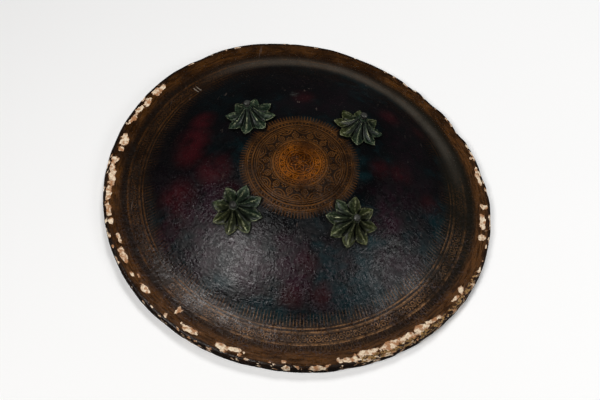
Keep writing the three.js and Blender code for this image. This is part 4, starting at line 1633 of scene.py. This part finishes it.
for side in ("left", "right"):
    strap, stations = make_strap(side)
    for corner in (f"back_{side}", f"front_{side}"):
        make_keeper(corner, side)
    lines = [margin_line(stations, edge, face) for edge in (-1, 1) for face in (-1, 1)]
    stitches = sew(f"strap_stitches_{side}", lines, f"{side}_strap")
    stitch_count = len(stitches.data.polygons) // (stitch_segments * stitch_rings)
    print(f"{side} strap:", len(strap.data.polygons), "faces,", stitch_count, "stitches")

# %% [markdown]
# ## Leather panel
#
# The panel lies against the inside of the hide. Its four corners are round and held
# under the washers, and its sides are drawn in between them. It is a fan of columns
# round the middle whose length follows the outline, and the stems' holes are cut last.

# %% Leather panel
panel_corner_radius, panel_draw = 10.0, 5.0
panel_columns, panel_rings, panel_side_steps, panel_corner_steps = 256, 20, 24, 24
seam_margin, drill_overrun, drill_sides = 3.2, 2.0, 20
stem_reach = inner_reach * math.sin(boss_tilt)


def under_hide(radius, depth):
    return inner_face.centre + math.sqrt((inner_face.radius - depth) ** 2 - radius**2)


def ring_under_hide(columns, reach, depth, drop=0.0, offset=0.0):
    """A ring of points under the hide. Its distance from the middle is a function of the angle."""
    ring = []
    for angle in circle(columns, offset):
        radius = reach(angle)
        ring.append(Vector(around(radius, angle, under_hide(radius, depth) - drop)))
    return ring


def panel_outline():
    """Angle and distance of the panel's edge, for a quarter turn round one corner."""
    corner = stem_reach * math.sqrt(0.5)
    waist = corner - panel_draw
    bulge = corner + panel_corner_radius * math.sqrt(0.5)
    low = corner - panel_corner_radius * math.sqrt(0.5)
    side = []
    for n in range(panel_side_steps // 2 + 1):
        share = 0.5 + n / panel_side_steps
        across = (1 - share) ** 2 * bulge + 2 * share * (1 - share) * (2 * waist - bulge) + share**2 * bulge
        side.append(Vector((across, -low + 2 * low * share)))
    angles = [math.pi * n / panel_corner_steps - math.pi / 4 for n in range(1, panel_corner_steps + 1)]
    bend = [Vector((corner, corner)) + Vector(around(panel_corner_radius, angle)).xy for angle in angles]
    points = side + bend + [point.yx for point in side[-2::-1]]
    return [math.atan2(point.y, point.x) for point in points], [point.length for point in points]


outline_angles, outline_reaches = panel_outline()


def panel_reach(angle):
    return float(np.interp(angle % (math.pi / 2), outline_angles, outline_reaches))


def make_panel():
    shares = [0.004] + [n / panel_rings for n in range(1, panel_rings)] + [0.975, 0.99]
    upper = [(share, panel_fit) for share in shares]
    lower = [(share, panel_fit + panel_thickness) for share in shares[::-1]]
    loops = [ring_under_hide(panel_columns, lambda angle: share * panel_reach(angle), depth)
             for share, depth in upper + [(1.0, panel_fit + panel_thickness / 2)] + lower]
    panel = make_piece("leather_panel", *skin(loops))
    top, foot = hide_under + drill_overrun, panel_under - drill_overrun
    hole = [(0, top), (bore_radius, top), (bore_radius, foot), (0, foot)]
    for corner in corners:
        combine(panel, "DIFFERENCE", *turned(hole, drill_sides, boss_place(corner)))
    return finish_piece(panel, [panel_leather], "cushion_panel")


panel = make_panel()
route = ring_under_hide(360, lambda angle: panel_reach(angle) - seam_margin, panel_fit + panel_thickness)
sew("panel_stitches", [route + route[:1]], "shield")
print("panel:", len(panel.data.polygons), "faces")

# %% [markdown]
# ## Knuckle cushion
#
# The cushion is a square bag of velvet, stuffed firmly, that lies against the panel. Its
# shape comes from blowing it up: cloth with pressure inside, held where it touches the
# panel and along its seam. A cap on how far a point may move keeps it clear of the hand's
# room. The quilting is pressed in afterwards, since it is finer than the cloth's mesh.

# %% Outline of the cushion
cushion_clearance = 8.3
cushion_corner_radius, cushion_edge, cushion_crown, cushion_draw = 9.0, 7.0, 21.0, 3.0
piping_radius, piping_gap = 1.9, 0.6
cushion_diagonal = stem_reach - washer_radius - cushion_clearance - 2 * piping_radius - piping_gap
cushion_half = (cushion_diagonal + cushion_corner_radius * (math.sqrt(2) - 1)) * math.sqrt(0.5)
cushion_depth = panel_fit + panel_thickness + fit
cushion_columns, corner_blend = 96, 2.5
bag_share, swelling, held_depth, stuffing_pressure = 0.985, 3.5, 4.5, 8.0
quilt_spacing, quilt_width, quilt_depth = 22.0, 1.5, 1.6


def cushion_reach(angle):
    turn = abs(angle % (math.pi / 2) - math.pi / 4)
    side = cushion_half / math.cos(math.pi / 4 - turn)
    corner = cushion_diagonal
    longest = side + corner - math.sqrt((side - corner) ** 2 + corner_blend**2)
    return longest / 2 - cushion_draw * math.sin(2 * turn) ** 2


def cushion_start():
    """The bag before it is stuffed: smaller than the finished cushion all round."""
    loops = [(share, 0.3) for share in (0.02, 0.2, 0.4, 0.6, 0.8, 0.93)]
    loops.append((bag_share, cushion_edge * 0.25))
    for share in (1.0, 0.97, 0.9, 0.8, 0.66, 0.5, 0.34, 0.18, 0.03):
        crown = (cushion_crown - swelling - cushion_edge) * math.sqrt(1 - share**2)
        loops.append((bag_share * share, cushion_edge * 0.7 + crown))
    return skin([ring_under_hide(cushion_columns, lambda angle: share * cushion_reach(angle), cushion_depth,
                                 drop, 0.5) for share, drop in loops])


def below_panel(point):
    """How far a point in metres lies under the cushion's upper face, in millimetres."""
    radius = math.hypot(point.x, point.y) / MM
    return under_hide(min(radius, 120.0), cushion_depth) - point.z / MM


print("cushion from side to side:", round(2 * cushion_half, 1), "mm")


# %% Stuffing the cushion
def stuff(piece, frames, cap):
    """Blows the cushion up as cloth, then keeps each point within the cap."""
    held = piece.vertex_groups.new(name="held")
    start = np.array([tuple(vertex.co) for vertex in piece.data.vertices])
    seated = [vertex.index for vertex in piece.data.vertices if below_panel(vertex.co) < held_depth]
    held.add(seated, 1.0, "REPLACE")
    cloth = piece.modifiers.new("stuffing", "CLOTH")
    cloth.settings.use_pressure = True
    cloth.settings.uniform_pressure_force = stuffing_pressure
    cloth.settings.effector_weights.gravity = 0.0
    cloth.settings.vertex_group_mass = "held"
    scene = bpy.context.scene
    for number in range(1, frames + 1):
        scene.frame_set(number)
    seen = piece.evaluated_get(bpy.context.evaluated_depsgraph_get())
    way = np.array([tuple(vertex.co) for vertex in seen.data.vertices]) - start
    piece.modifiers.clear()
    scene.frame_set(1)
    far = np.linalg.norm(way, axis=1, keepdims=True)
    way *= np.minimum(1.0, cap * MM / np.maximum(far, 1e-9))
    piece.data.vertices.foreach_set("co", (start + way).ravel())
    return float(far.max() / MM)


def quilt(piece):
    """Presses the quilting lines into the crowned side."""
    for vertex in piece.data.vertices:
        x, y = vertex.co.x / MM, vertex.co.y / MM
        show = smooth_step(below_panel(vertex.co), 7.0, 13.0)
        shares = [way * 0.7071 / quilt_spacing for way in (x + y, x - y)]
        nearest = min(abs((share + 0.5) % 1 - 0.5) for share in shares) * quilt_spacing
        vertex.co.z += show * quilt_depth * bump(nearest, 0, quilt_width) * MM


def make_cushion():
    cushion = make_piece("velvet_cushion", *cushion_start())
    remesh = cushion.modifiers.new("even mesh", "REMESH")
    remesh.mode, remesh.voxel_size = "VOXEL", 4.0 * MM
    bake_modifiers(cushion)
    print("cushion swelled by up to", round(stuff(cushion, 20, 4.5), 1), "mm")
    smooth = cushion.modifiers.new("smooth", "SUBSURF")
    smooth.levels = smooth.render_levels = 2
    bake_modifiers(cushion)
    quilt(cushion)
    finish_piece(smoothed(cushion), [velvet], "knuckle_cushion")
    return cushion


cushion = make_cushion()
print("cushion:", len(cushion.data.polygons), "faces")

# %% [markdown]
# ## Piping
#
# A twisted cord covers the cushion's seam. It is sewn down all round, so it is trim that
# keeps its place. Its section has three strands that turn as the cord goes round.

# %% Piping round the cushion
piping_steps, piping_sides, strand_count, twist_count = 560, 15, 3, 22


def make_piping():
    loops = []
    for angle in circle(piping_steps):
        way = Vector(around(1, angle))
        radius = cushion_reach(angle) + piping_radius + piping_gap
        middle = way * radius + Vector((0, 0, under_hide(radius, cushion_depth) - cushion_edge / 2))
        ring = []
        for turn in circle(piping_sides):
            size = piping_radius * (0.86 + 0.12 * math.cos(strand_count * (turn + twist_count * angle)))
            ring.append(middle + (way * math.cos(turn) + Vector((0, 0, 1)) * math.sin(turn)) * size)
        loops.append(ring)
    piping = make_piece("twisted_piping", *skin(loops, looped=True))
    return finish_piece(piping, [band_leather], "cushion_piping")


piping = make_piping()
print("piping:", len(piping.data.polygons), "faces")

# %% [markdown]
# ## Floor and light
#
# The shield was photographed on a seamless white ground in a dark room, under soft
# boxes. On dark lacquer what shows of a light is its reflection, so the boxes in front
# stand where the reflections in the photograph ask for them: one on the left and one on
# the right. A large one high behind lights the ground and leaves shadows under the
# petals. Its reflection is switched off, which is what a polariser does on a camera. The
# ground glows for the camera alone, a painted light that is brighter towards the right
# and the front, and it is dim in reflections.

# %% Floor
floor_half = 6000.0


def add_floor():
    points = [(x * floor_half, y * floor_half, 0) for x, y in ((-1, -1), (1, -1), (1, 1), (-1, 1))]
    floor = make_piece("floor", points, [(0, 1, 2, 3)])
    floor.data.materials.append(new_finish("seamless ground"))
    place = own_places()
    parts = add_node("ShaderNodeSeparateXYZ", place)
    camera_ray = add_node("ShaderNodeLightPath")
    pale = mixed(clouds_at(place, 1.5, 2.0), (0.84, 0.84, 0.84), (0.86, 0.86, 0.855))
    # Painted light: the ground glows for the camera alone, brighter towards the right and the front
    painted_glow = (parts * 0.2 + parts.beside("Y") * -0.12 + 0.175).clamped()
    shade(Base_Color=mixed(camera_ray.beside("Is Glossy Ray"), pale, (0.03, 0.03, 0.032)), Roughness=0.95,
          Specular_IOR_Level=0.2, Emission_Color=(1.0, 0.995, 0.985), Emission_Strength=camera_ray * painted_glow)
    return floor


floor = add_floor()
print("floor:", floor.data.materials[0].name)


# %% Soft boxes and the room
def add_soft_box(name, towards, distance, size, radiance, colour=(1, 1, 1)):
    """A soft box in a direction from the shield. Its power follows from how bright it looks."""
    light = bpy.data.objects.new(name, bpy.data.lights.new(name, "AREA"))
    light.data.shape = "RECTANGLE"
    light.data.size, light.data.size_y = size
    light.data.energy = radiance * math.pi * size[0] * size[1]
    light.data.color = colour
    way = Vector(towards).normalized()
    light.location = way * distance + Vector((0, 0, 0.05))
    light.rotation_euler = way.to_track_quat("Z", "Y").to_euler()
    bpy.context.scene.collection.objects.link(light)
    return light


def make_room():
    """A dark room all round, except that the camera itself would see a pale one."""
    world = bpy.data.worlds.new("dim room")
    bpy.context.scene.world = world
    world.use_nodes = True
    Wire.tree = world.node_tree
    background = world.node_tree.nodes["Background"]
    plug(background.inputs["Color"], (0.9, 0.95, 1.0))
    plug(background.inputs["Strength"], add_node("ShaderNodeLightPath") * 0.9 + 0.035)


add_soft_box("left_box", (-0.46, -0.38, 0.80), 1.7, (0.62, 0.62), 13.0, (1.0, 0.985, 0.97))
add_soft_box("right_box", (0.79, -0.25, 0.56), 1.8, (0.5, 0.65), 6.2)
back_box = add_soft_box("back_box", (0.10, 0.62, 0.78), 2.2, (0.8, 0.6), 15.5)
back_box.visible_glossy = False
make_room()
